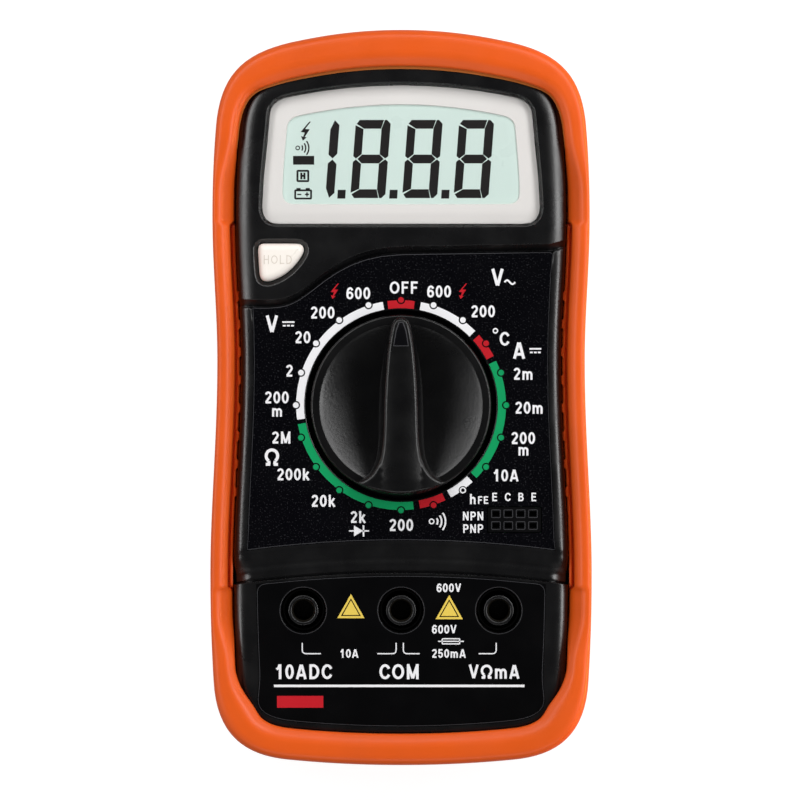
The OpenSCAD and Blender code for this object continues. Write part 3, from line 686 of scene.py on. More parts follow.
def level(z):
    """A height function for a flat surface."""
    return lambda p: np.full(len(p), z)


def loop_distance(p, loop):
    """Distance outside a small closed loop, negative inside."""
    gap = np.sqrt(((p[:, None, :] - loop[None, :, :]) ** 2).sum(axis=2)).min(axis=1)
    return np.where(inside(p, loop), -gap, gap)


def case_height(p):
    """Height of the front case's face."""
    x, y = p[:, 0], p[:, 1]
    d = edge_distance(p) - CASE_IN
    s = hood_y(x) - y
    below_hood = slope(s, 0, 1.25)
    ridge = 1 - ramp(d, 1.0, 4.0)
    z = CASE_TOP - (CASE_TOP - FACE_Z) * below_hood * (1 - 0.55 * ridge)
    groove = below_hood * (1 - slope(s, 1.4, 1.6))
    z -= groove * (0.75 * (1 - ridge) + 0.45 * ridge)
    # the channel steps down twice from the dial panel and ends in a narrow groove at the socket panel
    c = (arch_y(x, CHANNEL_Y) - y) / CHANNEL_HALF
    steps = 0.22 * ramp(c, -2.0, -1.3) + 0.35 * ramp(c, -0.45, 0.5) + 0.3 * ramp(c, 0.9, 1.0)
    z -= (steps + 0.8 * ridge * ramp(c, -1.4, 0.5)) * (1 - slope(c, 1.03, 1.11))
    # roll-off and edge rounding towards the outside
    z -= ROLL_H * (1 - slope(d, 0, ROLL_W)) ** 2
    return z - EDGE_H * (1 - np.sqrt(np.clip(1 - (1 - slope(d, 0, EDGE_W)) ** 2, 0, 1)))


def soft_opening(p, loop, depth, width):
    """How far a surface dips round the edge of an opening."""
    return depth * (1 - ramp(loop_distance(p, loop), 0, width))


def face_height(p):
    """Height of the face with its soft edges round the lens and the button."""
    z = case_height(p)
    # only the points near an opening are worked out
    near = np.abs(p[:, 1] - (LENS_LO[1] + LENS_HI[1]) / 2) < 18
    if near.any():
        z[near] -= soft_opening(p[near], LENS_HOLE, 0.6, 0.6)
    near = (p[:, 0] < BUTTON_HI[0] + 3) & (np.abs(p[:, 1] - (BUTTON_LO[1] + BUTTON_HI[1]) / 2) < 8)
    if near.any():
        z[near] -= soft_opening(p[near], BUTTON_HOLE, 0.5, 0.9)
    return z


def make_front_case():
    outer = outline_at(CASE_IN)
    rings = [resample(outline_at(CASE_IN + e)) for e in EDGE_CREASES]
    rings.append(resample(outer))
    border = rings[-1]
    xs = np.arange(-34, 34.1, 0.6)
    lines = [np.column_stack([xs, hood_y(xs) - s]) for s in HOOD_CREASES]
    lines += [np.column_stack([xs, arch_y(xs, CHANNEL_Y) - c * CHANNEL_HALF]) for c in CHANNEL_CREASES]
    for loop, widths in ((LENS_HOLE, (0, 0.12, 0.3, 0.45, 0.6)), (BUTTON_HOLE, (0, 0.2, 0.45, 0.7, 0.9))):
        rings += [resample(inset(loop, -w), 0.5) for w in widths]
    panels = [PANEL_LOOPS[0], JACK_LOOPS[0]]
    case = Shape()
    case.relief(lines, rings + panels, border, panels + [LENS_HOLE, BUTTON_HOLE], face_height, 1.6)
    # walls down from the outside edge and round each opening
    case.stack([outer, outer], [CASE_TOP - ROLL_H - EDGE_H, CASE_LO[2] + 1.5])
    case.stack([LENS_HOLE, LENS_HOLE], [CASE_TOP - 0.6, LENS_LO[2] - 0.4], flip=True)
    case.stack([BUTTON_HOLE, BUTTON_HOLE], [CASE_TOP - 0.5, CASE_TOP - 3.5], flip=True)
    case.stack([PANEL_LOOPS[0]] * 2, [face_height(PANEL_LOOPS[0]), PANEL_TOP - 0.4], flip=True)
    # wall of the knob's opening, and a floor under it
    case.lathe((DIAL_X, DIAL_Y), [(KNOB_HOLE + 0.3, PANEL_TOP + 0.01), (KNOB_HOLE, PANEL_TOP + 0.01),
                                  (18.45, PANEL_TOP - 0.2), (18.4, PANEL_TOP - 2.0), (17.4, PANEL_TOP - 2.1)])
    make_wells(case)
    case.piece("front_case_shell", CASE, stands_for=("front_case",), slot="black_case")


def jack_spot(side):
    """Middle of a socket."""
    lo, hi = box_mm("jack_sleeve_" + side)
    return (lo[:2] + hi[:2]) / 2


WELL_FLOOR = 26.6
SHROUD_R, SHROUD_TOP = 3.0, 32.6          # the tube that stands in each well
BORE_R = 2.2                              # its bore, where the plug goes in


def make_wells(case):
    """The three shrouded openings round the sockets."""
    top = JACKS_TOP
    for side in SIDES:
        case.lathe(jack_spot(side), [
            (4.75, top - 0.02), (4.6, top + 0.02), (4.45, top - 0.05), (4.35, top - 0.3), (4.3, 27.0),
            (4.1, WELL_FLOOR), (SHROUD_R, WELL_FLOOR), (SHROUD_R, 32.2), (2.95, 32.45), (2.8, SHROUD_TOP),
            (2.45, SHROUD_TOP), (2.28, 32.5), (BORE_R, 32.3), (BORE_R, 31.6)
        ], steps=64)


# ---- display

GLASS_Z = 31.75                           # visible face of the display, just behind the mask
MASK_TOP = 32.17
DIGIT_W, DIGIT_H, DIGIT_T = 6.8, 15.2, 1.7
DIGIT_Y = 38.8
SLANT = 0.075
ONE_X, EIGHT_XS = -14.75, (-9.9, 0.2, 10.2)
POINT_XS, POINT_LOW, POINT_HIGH = (-12.4, -2.3, 7.8), 38.7, 40.4


def make_lens():
    """The clear plate with its rounded upper edge."""
    lens = Shape()
    steps = [(0.2, LENS_HI[2]), (-0.05, 34.38), (-0.24, 34.29), (-0.36, 34.12), (-0.4, 33.9), (-0.4, 32.3)]
    lens.stack([inset(LENS_LOOP, d) for d, _ in steps], [z for _, z in steps])
    lens.cap(inset(LENS_LOOP, 0.2), LENS_HI[2])
    lens.piece("lens_plate", LENS, stands_for=("display_lens",), slot="clear_lens")


def make_mask():
    """The printed mask with a bevelled window, and the film of the display behind it."""
    top = MASK_TOP
    window = resample(soften(MASK_LOOPS[1], 3), 0.5)
    rim = resample(MASK_LOOPS[0], 0.5)
    mask = Shape()
    mask.relief([], [rim, window], rim, [window], level(top), 4)
    wider = [inset(window, d) for d in (0, 0.03, 0.1, 0.15)]
    mask.stack(wider, [top, top - 0.05, top - 0.3, GLASS_Z - 0.05], flip=True)
    mask.piece("mask_sheet", MASK, stands_for=("display_mask",), slot="mask_paint")
    film = Shape()
    film.cap(inset(window, -0.5), GLASS_Z)
    film.piece("lcd_sheet", LCD, slot="lcd_film")


def flip_y(points):
    """The same part of a digit upside down."""
    return [(x, DIGIT_H - y) for x, y in points]


def digit_segments():
    """The seven dark segments of a figure eight, upright, with narrow gaps between them."""
    w, h, t, g = DIGIT_W, DIGIT_H, DIGIT_T, 0.09
    mid = h / 2
    top = [(0.1 + g, h - 0.75), (0.75, h), (w - t + 0.45 - g, h), (w - t - g, h - t), (t, h - t)]
    right = [(w - t + 0.45 + g, h), (w - 0.75, h), (w, h - 0.75), (w, mid + 0.55), (w - 0.55, mid + g),
             (w - t, mid + t / 2 + g), (w - t, h - t)]
    left = [(0, h - 0.95 - g), (t - g, h - t - g), (t - g, mid + t / 2 + g), (0.55, mid + g), (0, mid + 0.55)]
    bar = [(0.75 + g, mid), (t, mid + t / 2), (w - t, mid + t / 2), (w - 0.75 - g, mid), (w - t, mid - t / 2),
           (t, mid - t / 2)]
    return [top, right, left, bar, flip_y(top), flip_y(right), flip_y(left)]


def one_segments():
    """The figure one: two pointed strokes."""
    t, mid, h = DIGIT_T, DIGIT_H / 2, DIGIT_H
    upper = [(0, h - 1.9), (0.75, h - 0.05), (t, h - 1.0), (t, mid + 1.0), (t / 2, mid + 0.12),
             (0, mid + 0.85)]
    return [upper, flip_y(upper)]


def fill(shape, points, z):
    """A flat polygon given by its corners."""
    shape.cap(np.array(points, float), z)


def fill_box(shape, x0, y0, x1, y1, z):
    """A flat upright rectangle."""
    fill(shape, [(x0, y0), (x1, y0), (x1, y1), (x0, y1)], z)


def make_digits():
    """A one, three eights, three points and the small marks."""
    ink = Shape()
    z = GLASS_Z + 0.02
    eight = digit_segments()
    for x0, segments in [(ONE_X, one_segments())] + [(x, eight) for x in EIGHT_XS]:
        for part in segments:
            fill(ink, [(x0 + x + SLANT * y, DIGIT_Y + y) for x, y in part], z)
    for x in POINT_XS:
        foot = [(x, POINT_LOW), (x + 1.55, POINT_LOW)]
        fill(ink, foot + [(x + 1.65, POINT_HIGH), (x + 0.1, POINT_HIGH)], z)
    make_display_marks(ink, z)
    ink.piece("lcd_segments", SEGMENT)


def make_display_marks(ink, z):
    """The small marks left of the digits: bolt, sound, minus, hold and battery."""
    bolt_mark(ink, -18.7, 51.8, 1.85, z)
    sound_mark(ink, -20.1, 48.55, 0.36, z)
    fill_box(ink, -21.0, 45.3, -16.9, 47.0, z)
    ink.stroke(rounded_box(-20.15, 42.1, -18.05, 44.1, 0.12), 0.38, z, closed=True)
    lettering(ink, "H", -19.1, 43.1, 1.3, z, weight=0.31)
    ink.stroke(rounded_box(-20.6, 38.7, -17.5, 40.3, 0.12), 0.36, z, closed=True)
    for x in (-19.95, -18.15):
        fill_box(ink, x - 0.4, 40.3, x + 0.4, 40.75, z)
    for x in (-19.8, -18.3):
        ink.stroke([(x - 0.4, 39.5), (x + 0.4, 39.5)], 0.25, z)
    ink.stroke([(-18.3, 39.1), (-18.3, 39.9)], 0.25, z)


# ---- printed marks

STROKE = 0.175                            # thickness of the letters' strokes; capitals are 1 high
LOW, HIGH = STROKE / 2, 1 - STROKE / 2    # middle of a stroke along the foot and along the top
OVAL_STEPS = 20


def oval(x, y, rx, ry, start, end):
    """Part of an ellipse, in degrees clockwise from the top."""
    return [(x + rx * a, y + ry * b) for a, b in arc(0, 0, 1, start, end, OVAL_STEPS)]


def arched(x0, x1, top=0.72, foot=0.0):
    """One arch of a small m or h."""
    middle, half = (x0 + x1) / 2, (x1 - x0) / 2
    return oval(middle, top - 0.28, half, 0.28 - LOW, -90, 90) + [(x1, foot)]


def bowl(x0, top, x, y, rx, ry, foot, tilt=8):
    """The bow of a B, D or P, from the stem over x0 and round an oval back to the stem."""
    return [(0.1, top), (x0, top)] + oval(x, y, rx, ry, tilt, 180 - tilt) + [(0.1, foot)]


def letters():
    """Each letter as its width and its strokes, for capitals of height 1."""
    zero = oval(0.285, 0.5, 0.20, HIGH - 0.5, 0, 360)
    stem = [(0.13, 0), (0.13, 1)]
    return {
        "0": (0.57, [zero]),
        "1": (0.57, [[(0.35, 0), (0.35, 1)], [(0.11, 0.66), (0.24, 0.74), (0.33, 0.97)]]),
        "2": (0.57, [oval(0.28, 0.70, 0.19, HIGH - 0.70, -78, 118) + [(0.09, 0.10)],
                     [(0.05, LOW), (0.52, LOW)]]),
        "5": (0.57, [[(0.49, HIGH), (0.13, HIGH)], [(0.15, 1), (0.11, 0.46)],
                     oval(0.28, 0.335, 0.20, 0.335 - LOW, -52, 258)]),
        "6": (0.57, [oval(0.285, 0.325, 0.20, 0.325 - LOW, 0, 360),
                     oval(0.31, 0.5, 0.225, HIGH - 0.5, 55, -90) + [(0.085, 0.3)]]),
        "A": (0.74, [[(0.09, 0), (0.35, 0.97)], [(0.65, 0), (0.39, 0.97)], [(0.2, 0.27), (0.54, 0.27)]]),
        "B": (0.68, [stem, bowl(0.36, HIGH, 0.37, 0.725, 0.17, HIGH - 0.725, 0.53),
                     bowl(0.38, 0.53, 0.39, 0.31, 0.19, 0.31 - LOW, LOW)]),
        "C": (0.72, [oval(0.39, 0.5, 0.29, HIGH - 0.5, 118, 422)]),
        "D": (0.72, [stem, bowl(0.28, HIGH, 0.3, 0.5, 0.32, HIGH - 0.5, LOW, tilt=5)]),
        "E": (0.64, [stem, [(0.1, HIGH), (0.6, HIGH)], [(0.1, 0.52), (0.56, 0.52)],
                     [(0.1, LOW), (0.61, LOW)]]),
        "F": (0.62, [stem, [(0.1, HIGH), (0.59, HIGH)], [(0.1, 0.5), (0.53, 0.5)]]),
        "H": (0.72, [stem, [(0.59, 0), (0.59, 1)], [(0.1, 0.52), (0.62, 0.52)]]),
        "L": (0.60, [stem, [(0.1, LOW), (0.58, LOW)]]),
        "M": (0.86, [stem, [(0.73, 0), (0.73, 1)], [(0.12, 0.98), (0.43, 0.06)],
                     [(0.74, 0.98), (0.43, 0.06)]]),
        "N": (0.74, [stem, [(0.61, 0), (0.61, 1)], [(0.13, 0.96), (0.61, 0.04)]]),
        "O": (0.80, [oval(0.40, 0.5, 0.31, HIGH - 0.5, 0, 360)]),
        "P": (0.67, [stem, bowl(0.36, HIGH, 0.37, 0.68, 0.20, HIGH - 0.68, 0.448)]),
        "V": (0.70, [[(0.08, 1), (0.34, 0.05)], [(0.62, 1), (0.36, 0.05)]]),
        "h": (0.60, [[(0.12, 0), (0.12, 1)], arched(0.12, 0.48)]),
        "k": (0.58, [[(0.12, 0), (0.12, 1)], [(0.13, 0.25), (0.49, 0.72)], [(0.25, 0.42), (0.52, 0)]]),
        "m": (0.90, [[(0.12, 0), (0.12, 0.72)], arched(0.12, 0.45), arched(0.45, 0.78)]),
        "Ω": (0.86, [oval(0.43, 0.57, 0.33, HIGH - 0.57, -146, 146), [(0.08, LOW), (0.33, LOW)],
                     [(0.53, LOW), (0.78, LOW)], [(0.27, LOW), (0.25, 0.28)], [(0.59, LOW), (0.61, 0.28)]]),
    }


LETTERS = letters()
LETTER_GAP = 0.13


def lettering(shape, words, x, y, capital, z, weight=STROKE):
    """Flat words centred on (x, y) with capitals of the given height."""
    length = sum(LETTERS[w][0] for w in words) + LETTER_GAP * (len(words) - 1)
    left = x - length * capital / 2
    for w in words:
        width, strokes = LETTERS[w]
        for k, line in enumerate(strokes):
            closed = len(line) == OVAL_STEPS and np.allclose(line[0], line[-1])
            path = np.array(line[:-1] if closed else line) * capital + [left, y - capital / 2]
            shape.stroke(path, weight * capital, z + 0.0005 * k, closed=closed)
        left += (width + LETTER_GAP) * capital


def bolt_mark(shape, x, y, half, z):
    """A small lightning bolt."""
    corners = [(0.45, 1.0), (-0.45, -0.08), (-0.02, -0.14), (-0.18, -0.58), (-0.42, -0.5), (-0.22, -1.0),
               (0.18, -0.64), (-0.02, -0.6), (0.5, 0.2), (0.02, 0.24), (0.62, 1.0)]
    fill(shape, [(x + a * half, y + b * half) for a, b in corners], z)


def sound_mark(shape, x, y, unit, z):
    """A small ring with three arcs that spread to its right."""
    shape.stroke(circle(x, y, unit, 20), unit * 0.55, z, closed=True)
    for radius, spread in ((2.6, 32), (4.3, 36), (6.0, 38)):
        shape.stroke(arc(x, y, radius * unit, 90 - spread, 90 + spread, 12), unit * 0.75, z)


def direct_mark(shape, x, y, width, z):
    """A line over three dashes: direct current."""
    shape.stroke([(x - width / 2, y + 0.35), (x + width / 2, y + 0.35)], 0.32, z)
    dash = width / 3
    for k in (-1, 0, 1):
        shape.stroke([(x + (k - 0.36) * dash, y - 0.35), (x + (k + 0.36) * dash, y - 0.35)], 0.32, z)


def wave_mark(shape, x, y, width, z):
    """One period of a wave: alternating current."""
    t = np.linspace(-0.5, 0.5, 16)
    shape.stroke(np.column_stack([x + t * width, y - 0.38 * np.sin(t * 2 * math.pi)]), 0.36, z)


def diode_mark(shape, x, y, z):
    """An arrow on a line with a bar at its tip."""
    shape.stroke([(x - 1.95, y), (x + 1.95, y)], 0.26, z)
    fill(shape, [(x - 1.0, y - 1.05), (x + 0.75, y), (x - 1.0, y + 1.05)], z + 0.001)
    shape.stroke([(x + 0.85, y - 1.1), (x + 0.85, y + 1.1)], 0.32, z)


# Words round the dial as (words, x, y, capital height), measured from the middle of the holster
DIAL_WORDS = (
    ("OFF", 0.55, 21.35, 2.4), ("600", 7.4, 20.6, 2.35), ("200", 15.95, 16.75, 2.35), ("C", 20.1, 11.4, 2.7),
    ("A", 22.95, 9.15, 3.25), ("2m", 23.75, 4.6, 2.35), ("20m", 24.9, -2.0, 2.35), ("200", 23.75, -7.9, 2.35),
    ("m", 23.8, -10.15, 2.3), ("10A", 20.35, -15.15, 2.35), ("h", 13.95, -19.75, 2.0),
    ("FE", 15.95, -19.95, 1.5), ("200", 0.05, -24.8, 2.35), ("2k", -8.35, -23.25, 2.3),
    ("20k", -15.1, -20.1, 2.35), ("200k", -20.95, -14.95, 2.35), ("2M", -23.25, -7.8, 2.35),
    ("200", -24.15, 0.0, 2.35), ("m", -24.1, -2.6, 2.3), ("2", -21.7, 5.2, 2.35), ("20", -19.1, 11.7, 2.35),
    ("200", -15.25, 16.5, 2.35), ("600", -8.3, 20.25, 2.35), ("V", -25.1, 14.25, 3.4),
    ("V", 18.75, 23.3, 3.4), ("E", 18.2, -19.35, 1.65), ("C", 20.75, -19.35, 1.65),
    ("B", 23.3, -19.35, 1.65), ("E", 25.8, -19.35, 1.65), ("NPN", 14.0, -23.05, 1.7),
    ("PNP", 14.0, -25.5, 1.7), ("Ω", -25.1, -11.6, 3.4),
)

# Words on the socket panel
JACK_WORDS = (
    ("10ADC", -18.95, -53.3, 2.9), ("COM", -0.35, -53.3, 2.95), ("VΩmA", 18.1, -53.3, 2.75),
    ("600V", 9.3, -37.0, 1.7), ("600V", 8.4, -45.05, 1.7), ("250mA", 9.3, -49.75, 1.7),
    ("10A", -10.1, -49.75, 1.7),
)

# Coloured arcs of the scale, in degrees clockwise from the top
RED_ARCS = ((-7.5, 7.5), (48, 62), (155, 169.5))
WHITE_ARCS = ((11, 45), (137, 151.6), (262, 350))
GREEN_ARCS = ((65, 134), (173, 259.5))
SCALE_IN, SCALE_OUT, DOTS_R = 18.85, 20.4, 20.45
POSITIONS = 20
DOT_RIM, DOT_WIDE, DOT_FULL, DOT_CORE = 0.82, 0.62, 0.56, 0.36
LAYER = 0.006                             # step between printed colours that lie on each other


def make_scale(white, green, red, ink, z):
    """The ring of coloured arcs with a dot at each position; the dots of the low white arc are hollow."""
    for shape, arcs in ((red, RED_ARCS), (white, WHITE_ARCS), (green, GREEN_ARCS)):
        for start, end in arcs:
            inner, outer = (arc(DIAL_X, DIAL_Y, r, start, end) for r in (SCALE_IN, SCALE_OUT))
            shape.ribbon(inner, outer, z)
            middle = (start + end) / 2
            for k in range(POSITIONS):
                turn = (360 / POSITIONS * k + 180 - middle) % 360 - 180 + middle
                if not start <= turn <= end:
                    continue
                x, y = arc(DIAL_X, DIAL_Y, DOTS_R, turn, turn, 1)[0]
                hollow = shape is white and start > 100 and end < 200
                ink.disc(x, y, DOT_RIM, z + LAYER)
                shape.disc(x, y, DOT_WIDE if hollow else DOT_FULL, z + 2 * LAYER)
                if hollow:
                    ink.disc(x, y, DOT_CORE, z + 3 * LAYER)


def make_dial_print():
    """Everything printed round the dial, and a painted highlight along the panel's edge."""
    z = PANEL_TOP + PRINT_UP
    white, green, red, ink = Shape(), Shape(), Shape(), Shape()
    make_scale(white, green, red, ink, z)
    for words, x, y, capital in DIAL_WORDS:
        lettering(white, words, x, y, capital, z)
    white.stroke(circle(18.35, 12.95, 0.42, 24), 0.26, z, closed=True)
    direct_mark(white, -21.9, 14.3, 2.4, z)
    direct_mark(white, 26.1, 9.1, 2.3, z)
    wave_mark(white, 21.15, 22.4, 2.1, z)
    diode_mark(white, -8.15, -25.95, z)
    sound_mark(white, 5.95, -24.1, 0.45, z)
    bolt_mark(red, -13.0, 20.65, 1.5, z)
    bolt_mark(red, 11.9, 20.65, 1.5, z)
    # painted highlight: a thin grey line just inside the dial panel's edge, where its step catches light
    edge = Shape()
    edge.stroke(resample(inset(PANEL_LOOPS[0], 0.2, 0), 0.8), 0.12, z, closed=True)
    for name, shape, finish in (
        ("white_scale", white, WHITE), ("green_scale", green, GREEN), ("red_scale", red, RED),
        ("dark_scale", ink, INK), ("panel_edge_highlight", edge, EDGE_HIGHLIGHT),
    ):
        shape.piece(name, finish)


def triangle(x, base, half, height):
    """Corners of an upright triangle."""
    return [(x - half, base), (x + half, base), (x, base + height)]


def bracket(shape, points, z):
    """A thin printed line through corner points, its corners rounded."""
    shape.stroke(rounded_path([(x, y, 0.8) for x, y in points]), 0.22, z)


def make_jack_print():
    """Everything printed round the sockets, and painted highlights along the panel's edge and round each
    well.
    """
    z = JACKS_TOP + PRINT_UP
    white, yellow, red, ink, edge = Shape(), Shape(), Shape(), Shape(), Shape()
    for words, x, y, capital in JACK_WORDS:
        lettering(white, words, x, y, capital, z)
    fill_box(white, -24.7, -56.3, 24.0, -55.82, z)
    for outer, inner in ((-19.2, -15.6), (-0.95, -4.6), (0.45, 3.6), (18.5, 15.1)):
        bracket(white, [(outer, -47.7), (outer, -49.8), (inner, -49.8)], z)
    # fuse mark
    white.stroke(rounded_box(8.0, -47.9, 11.4, -46.9, 0.15), 0.22, z, closed=True)
    white.stroke([(7.2, -47.4), (12.2, -47.4)], 0.22, z)
    for x, base in ((-9.74, -42.9), (9.36, -43.1)):
        fill(yellow, triangle(x, base, 2.65, 4.7), z)
        ink.ribbon(triangle(x, base + 0.42, 1.95, 3.45), triangle(x, base + 0.62, 1.6, 2.85), z + LAYER,
                   closed=True)
    fill_box(red, -24.1, -60.3, -15.1, -58.0, z)
    # painted highlights: thin grey lines along the panel's edge and round the rim of each well
    edge.stroke(resample(soften(inset(JACK_LOOPS[0], 0.2, 0), 2), 0.8), 0.09, z, closed=True)
    for side in SIDES:
        edge.stroke(circle(*jack_spot(side), 4.55, 64), 0.08, z, closed=True)
    for name, shape, finish in (
        ("white_legend", white, WHITE), ("yellow_triangles", yellow, YELLOW), ("red_bar", red, RED),
        ("dark_legend", ink, INK), ("jack_edge_highlights", edge, EDGE_HIGHLIGHT),
    ):
        shape.piece(name, finish)


# ---- knob

PLATE_R = (KNOB_HI[0] - KNOB_LO[0]) / 2
PLATE_TOP = 34.6
DISH_R, DISH_D = 15.7, 2.5                # the dish's radius and depth
BAR_TOP = KNOB_HI[2]
BAR_CROWN = 0.04                          # how fast the bar's top falls away from its middle line
BAR_ROUND = 0.65                          # radius along the bar's upper edges
POINTER = np.array([(-1.5, 11.4), (1.5, 11.4), (1.05, 14.4), (0.45, 16.1), (-0.45, 16.1), (-1.05, 14.4)])


def bar_loop(d):
    """The finger bar seen from above, its sides moved in by d."""
    right = np.vstack([
        bezier([0, 16.9 - d], [1.0, 16.9 - d], [1.6 - d / 2, 16.3 - d], [1.9 - d, 14.8]),
        bezier([1.9 - d, 14.8], [2.8 - d, 11], [3.25 - d, 5], [3.4 - d, -2]),
        bezier([3.4 - d, -2], [3.5 - d, -9.5 - d], [3.9 - d, -13.4 - d], [8.5 - d, -14.9 - d / 2]),
        bezier([8.5 - d, -14.9 - d / 2], [6.6 - d, -16.2 + d / 2], [3, -17.2 + d], [0, -17.2 + d]),
        [[0, -17.2 + d]],
    ])
    return mirrored(right)


def bar_height(p):
    """Height of the finger bar's top: it drops at the pointer's tip and along the flared foot."""
    x, y = p[:, 0], p[:, 1]
    flare = np.clip((np.abs(x) - 4) / 4.4, 0, 1)
    crown = BAR_CROWN * np.minimum(np.abs(x), 4) ** 2
    return BAR_TOP - crown - 0.35 * ramp(y, 14.5, 17.2) - 0.5 * ramp(-y, 14.0, 17.2) - 1.0 * flare ** 2


def make_knob():
    """The dished plate, the finger bar and the pointer mark, with a painted highlight round the mark."""
    knob = Shape()
    r, top = PLATE_R - 0.05, PLATE_TOP
    profile = [(r, PANEL_TOP - 1.9), (r, top - 0.5), (r - 0.07, top - 0.25), (r - 0.22, top - 0.08),
               (r - 0.45, top), (DISH_R + 0.3, top), (DISH_R + 0.1, top - 0.03)]
    profile += [(DISH_R * t, top - 0.12 - DISH_D * (1 - t ** 2.4)) for t in np.linspace(1, 0.02, 26)]
    knob.lathe((DIAL_X, DIAL_Y), profile, steps=128)
    # the bar's side flares out into the dish below and turns over into its top above
    count = len(resample(bar_loop(0.2), 0.35))
    loops = []
    for d, z in ((-0.9, 32.2), (-0.55, 33.0), (-0.25, 34.2), (-0.12, 36.0)):
        line = resample(bar_loop(d), count=count)
        loops.append(np.column_stack([line + [DIAL_X, DIAL_Y], np.full(count, z)]))
    for turn in np.radians(np.linspace(0, 90, 8)):
        line = resample(bar_loop(BAR_ROUND * (1 - math.cos(turn))), count=count)
        heights = bar_height(line) - BAR_ROUND * (1 - math.sin(turn))
        loops.append(np.column_stack([line + [DIAL_X, DIAL_Y], heights]))
    knob.grid(np.stack(loops, axis=1), flip=True)
    rim = resample(bar_loop(BAR_ROUND), 0.35)
    knob.relief([], [rim], rim, [], bar_height, 0.8, origin=(DIAL_X, DIAL_Y, 0))
    knob.piece("knob_shell", KNOB, body=DIAL, stands_for=("dial_knob",), slot="black_knob")
    outer, inner = resample(POINTER, 0.3), resample(inset(POINTER, 0.2, 0), 0.3)
    mark, border = Shape(), Shape()
    mark.relief([], [outer], outer, [], bar_height, 0.8, origin=(DIAL_X, DIAL_Y, PRINT_UP))
    # painted highlight: a grey band round the pointer mark for the light on its edge
    border.relief([], [outer, inner], outer, [inner], bar_height, 0.8, origin=(DIAL_X, DIAL_Y, 0.02))
    mark.piece("pointer_mark", INK, body=DIAL)
    border.piece("pointer_edge_highlight", EDGE_HIGHLIGHT, body=DIAL)


# ---- hold button and transistor socket

HOLE_XS, HOLE_YS = (-3.6, -1.2, 1.2, 3.6), (-1.15, 1.15)
HOLE_DEPTH = 2.5


def make_button():
    """The hold button with its rounded edge and faint word."""
    button = Shape()
    steps = [(0.9, 35.3), (0.65, 35.27), (0.35, 35.17), (0.05, 34.98), (-0.18, 34.72), (-0.32, 34.4),
             (-0.4, 34.0), (-0.4, 30.7)]
    button.stack([inset(BUTTON_LOOP, d, 4) for d, _ in steps], [z for _, z in steps])
    button.cap(inset(BUTTON_LOOP, steps[0][0], 4), steps[0][1])
    button.piece("button_cap", CREAM, body="button", stands_for=("hold_button",), slot="cream_button")
    word = Shape()
    lettering(word, "HOLD", -23.95, 26.75, 1.75, BUTTON_HI[2] + 0.01, weight=0.09)
    word.piece("button_word", FAINT, body="button")


def make_socket():
    """The transistor socket: two rows of four square holes, each ringed by a painted highlight for its lit
    edge.
    """
    middle = (SOCKET_LO[:2] + SOCKET_HI[:2]) / 2
    top = SOCKET_HI[2]
    body, rim_highlights = Shape(), Shape()
    outer = rounded_box(*SOCKET_LO[:2], *SOCKET_HI[:2], 0.3)
    holes = []
    for x in HOLE_XS:
        for y in HOLE_YS:
            cx, cy = middle + [x, y]
            hole = rounded_box(cx - 0.65, cy - 0.45, cx + 0.65, cy + 0.45, 0.12, 3)
            rim = rounded_box(cx - 0.85, cy - 0.75, cx + 0.85, cy + 0.75, 0.15, 3)
            holes.append(hole)
            body.stack([hole, hole], [top, top - HOLE_DEPTH], flip=True)
            body.cap(hole, top - HOLE_DEPTH)
            # painted highlight: a grey line round each hole where its edge catches light
            rim_highlights.stroke(rim, 0.12, top + 0.01, closed=True)
    body.relief([], [outer] + holes, outer, holes, level(top), 2)
    body.stack([outer, outer], [top, top - 1.5])
    body.piece("socket_block", SOCKET, stands_for=("transistor_socket",), slot="black_socket")
    rim_highlights.piece("socket_rim_highlights", EDGE_HIGHLIGHT)


# ---- everything in place

def round_node_edges(node, width):
    """Takes the sharpness off a CAD node's edges."""
    bevel = frame["nodes"][node].modifiers.new("soft_edges", "BEVEL")
    bevel.width = width * MM
    bevel.segments = 2
    bevel.limit_method = "ANGLE"
    bevel.angle_limit = math.radians(40)


make_holster()
make_front_case()
make_lens()
make_mask()
make_digits()
make_dial_print()
make_jack_print()
make_knob()
make_button()
make_socket()
dress_nodes()
round_node_edges("tilt_stand", 0.3)

# ---- stage

# Name, place, size across and along, and power of each light
LIGHTS = (
    ("soft_left", (-0.42, 0.16, 0.52), (0.85, 0.14), 2.0),
    ("soft_right", (0.42, 0.16, 0.52), (0.85, 0.14), 3.0),
    ("soft_top", (0, 0.60, 0.48), (0.9, 0.16), 1.8),
    ("soft_bottom", (0, -0.60, 0.48), (0.9, 0.16), 1.1),
    ("edge_left", (-0.6, 0, 0.14), (0.9, 0.06), 0.6),
    ("edge_right", (0.6, 0, 0.14), (0.9, 0.06), 0.9),
)
LIGHTS_AIM = Vector((0, 0, 0.03))
FLOOR_HALF = 3.0


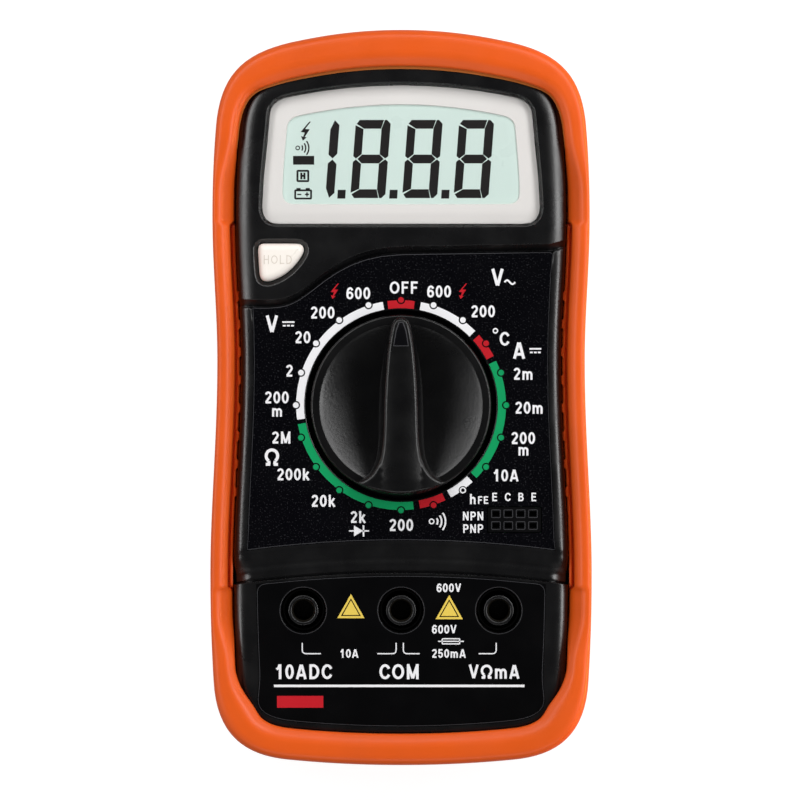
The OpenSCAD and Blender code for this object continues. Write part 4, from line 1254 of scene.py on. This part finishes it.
def make_stage():
    """A large pale floor just under the meter."""
    floor = bpy.data.meshes.new("floor")
    corners = [(x * FLOOR_HALF, y * FLOOR_HALF, 0) for x, y in ((-1, -1), (1, -1), (1, 1), (-1, 1))]
    floor.from_pydata(corners, [], [(0, 1, 2, 3)])
    mat = bpy.data.materials.new("pale_floor")
    mat.use_nodes = True
    shader = mat.node_tree.nodes["Principled BSDF"]
    set_inputs(shader, {"Base Color": (0.32, 0.32, 0.32, 1), "Roughness": 0.8, "Specular IOR Level": 0.1,
                        "Emission Color": (1, 1, 1, 1)})
    # bright to the camera, dim as a light, so that the holster's outside keeps its shading
    path = mat.node_tree.nodes.new("ShaderNodeLightPath")
    glow = mat.node_tree.nodes.new("ShaderNodeMapRange")
    set_inputs(glow, {"To Min": 0.1, "To Max": 0.85})
    mat.node_tree.links.new(path.outputs["Is Camera Ray"], glow.inputs["Value"])
    mat.node_tree.links.new(glow.outputs["Result"], shader.inputs["Emission Strength"])
    floor.materials.append(mat)
    obj = put("floor", floor)
    obj.location.z = -0.0002


def area_light(name, spot, size, power, colour=(1, 1, 1)):
    """A rectangular light that faces the meter."""
    light = bpy.data.lights.new(name, "AREA")
    light.shape = "RECTANGLE"
    light.size, light.size_y = size
    light.energy = power
    light.color = colour
    obj = put(name, light)
    obj.location = spot
    obj.rotation_euler = (LIGHTS_AIM - Vector(spot)).to_track_quat("-Z", "Y").to_euler()
    return obj


def make_lights():
    """Soft lights all round, a warm one that reaches only the holster, and a weak white surround."""
    for row in LIGHTS:
        area_light(*row)
    warm = area_light("warm_rim", (0.6, 0, 0.03), (0.5, 0.04), 3.0, (1.0, 0.58, 0.10))
    only = bpy.data.collections.new("warm_rim_on")
    only.objects.link(bpy.data.objects["holster_shell"])
    warm.light_linking.receiver_collection = only
    world = bpy.data.worlds.new("studio")
    world.use_nodes = True
    set_inputs(world.node_tree.nodes["Background"], {"Color": (1, 1, 1, 1), "Strength": 0.05})
    bpy.context.scene.world = world


def make_camera():
    """A long lens straight above the face."""
    data = bpy.data.cameras.new("camera")
    data.lens = 300
    data.sensor_width = 36
    span = 0.1551                          # width of the picture at the face's height
    height = RIM_Z * MM + span * data.lens / data.sensor_width
    cam = put("camera", data)
    cam.location = (-0.0002, -0.0005, height)
    bpy.context.scene.camera = cam
    bpy.context.scene.view_settings.view_transform = "Standard"


make_stage()
make_lights()
make_camera()
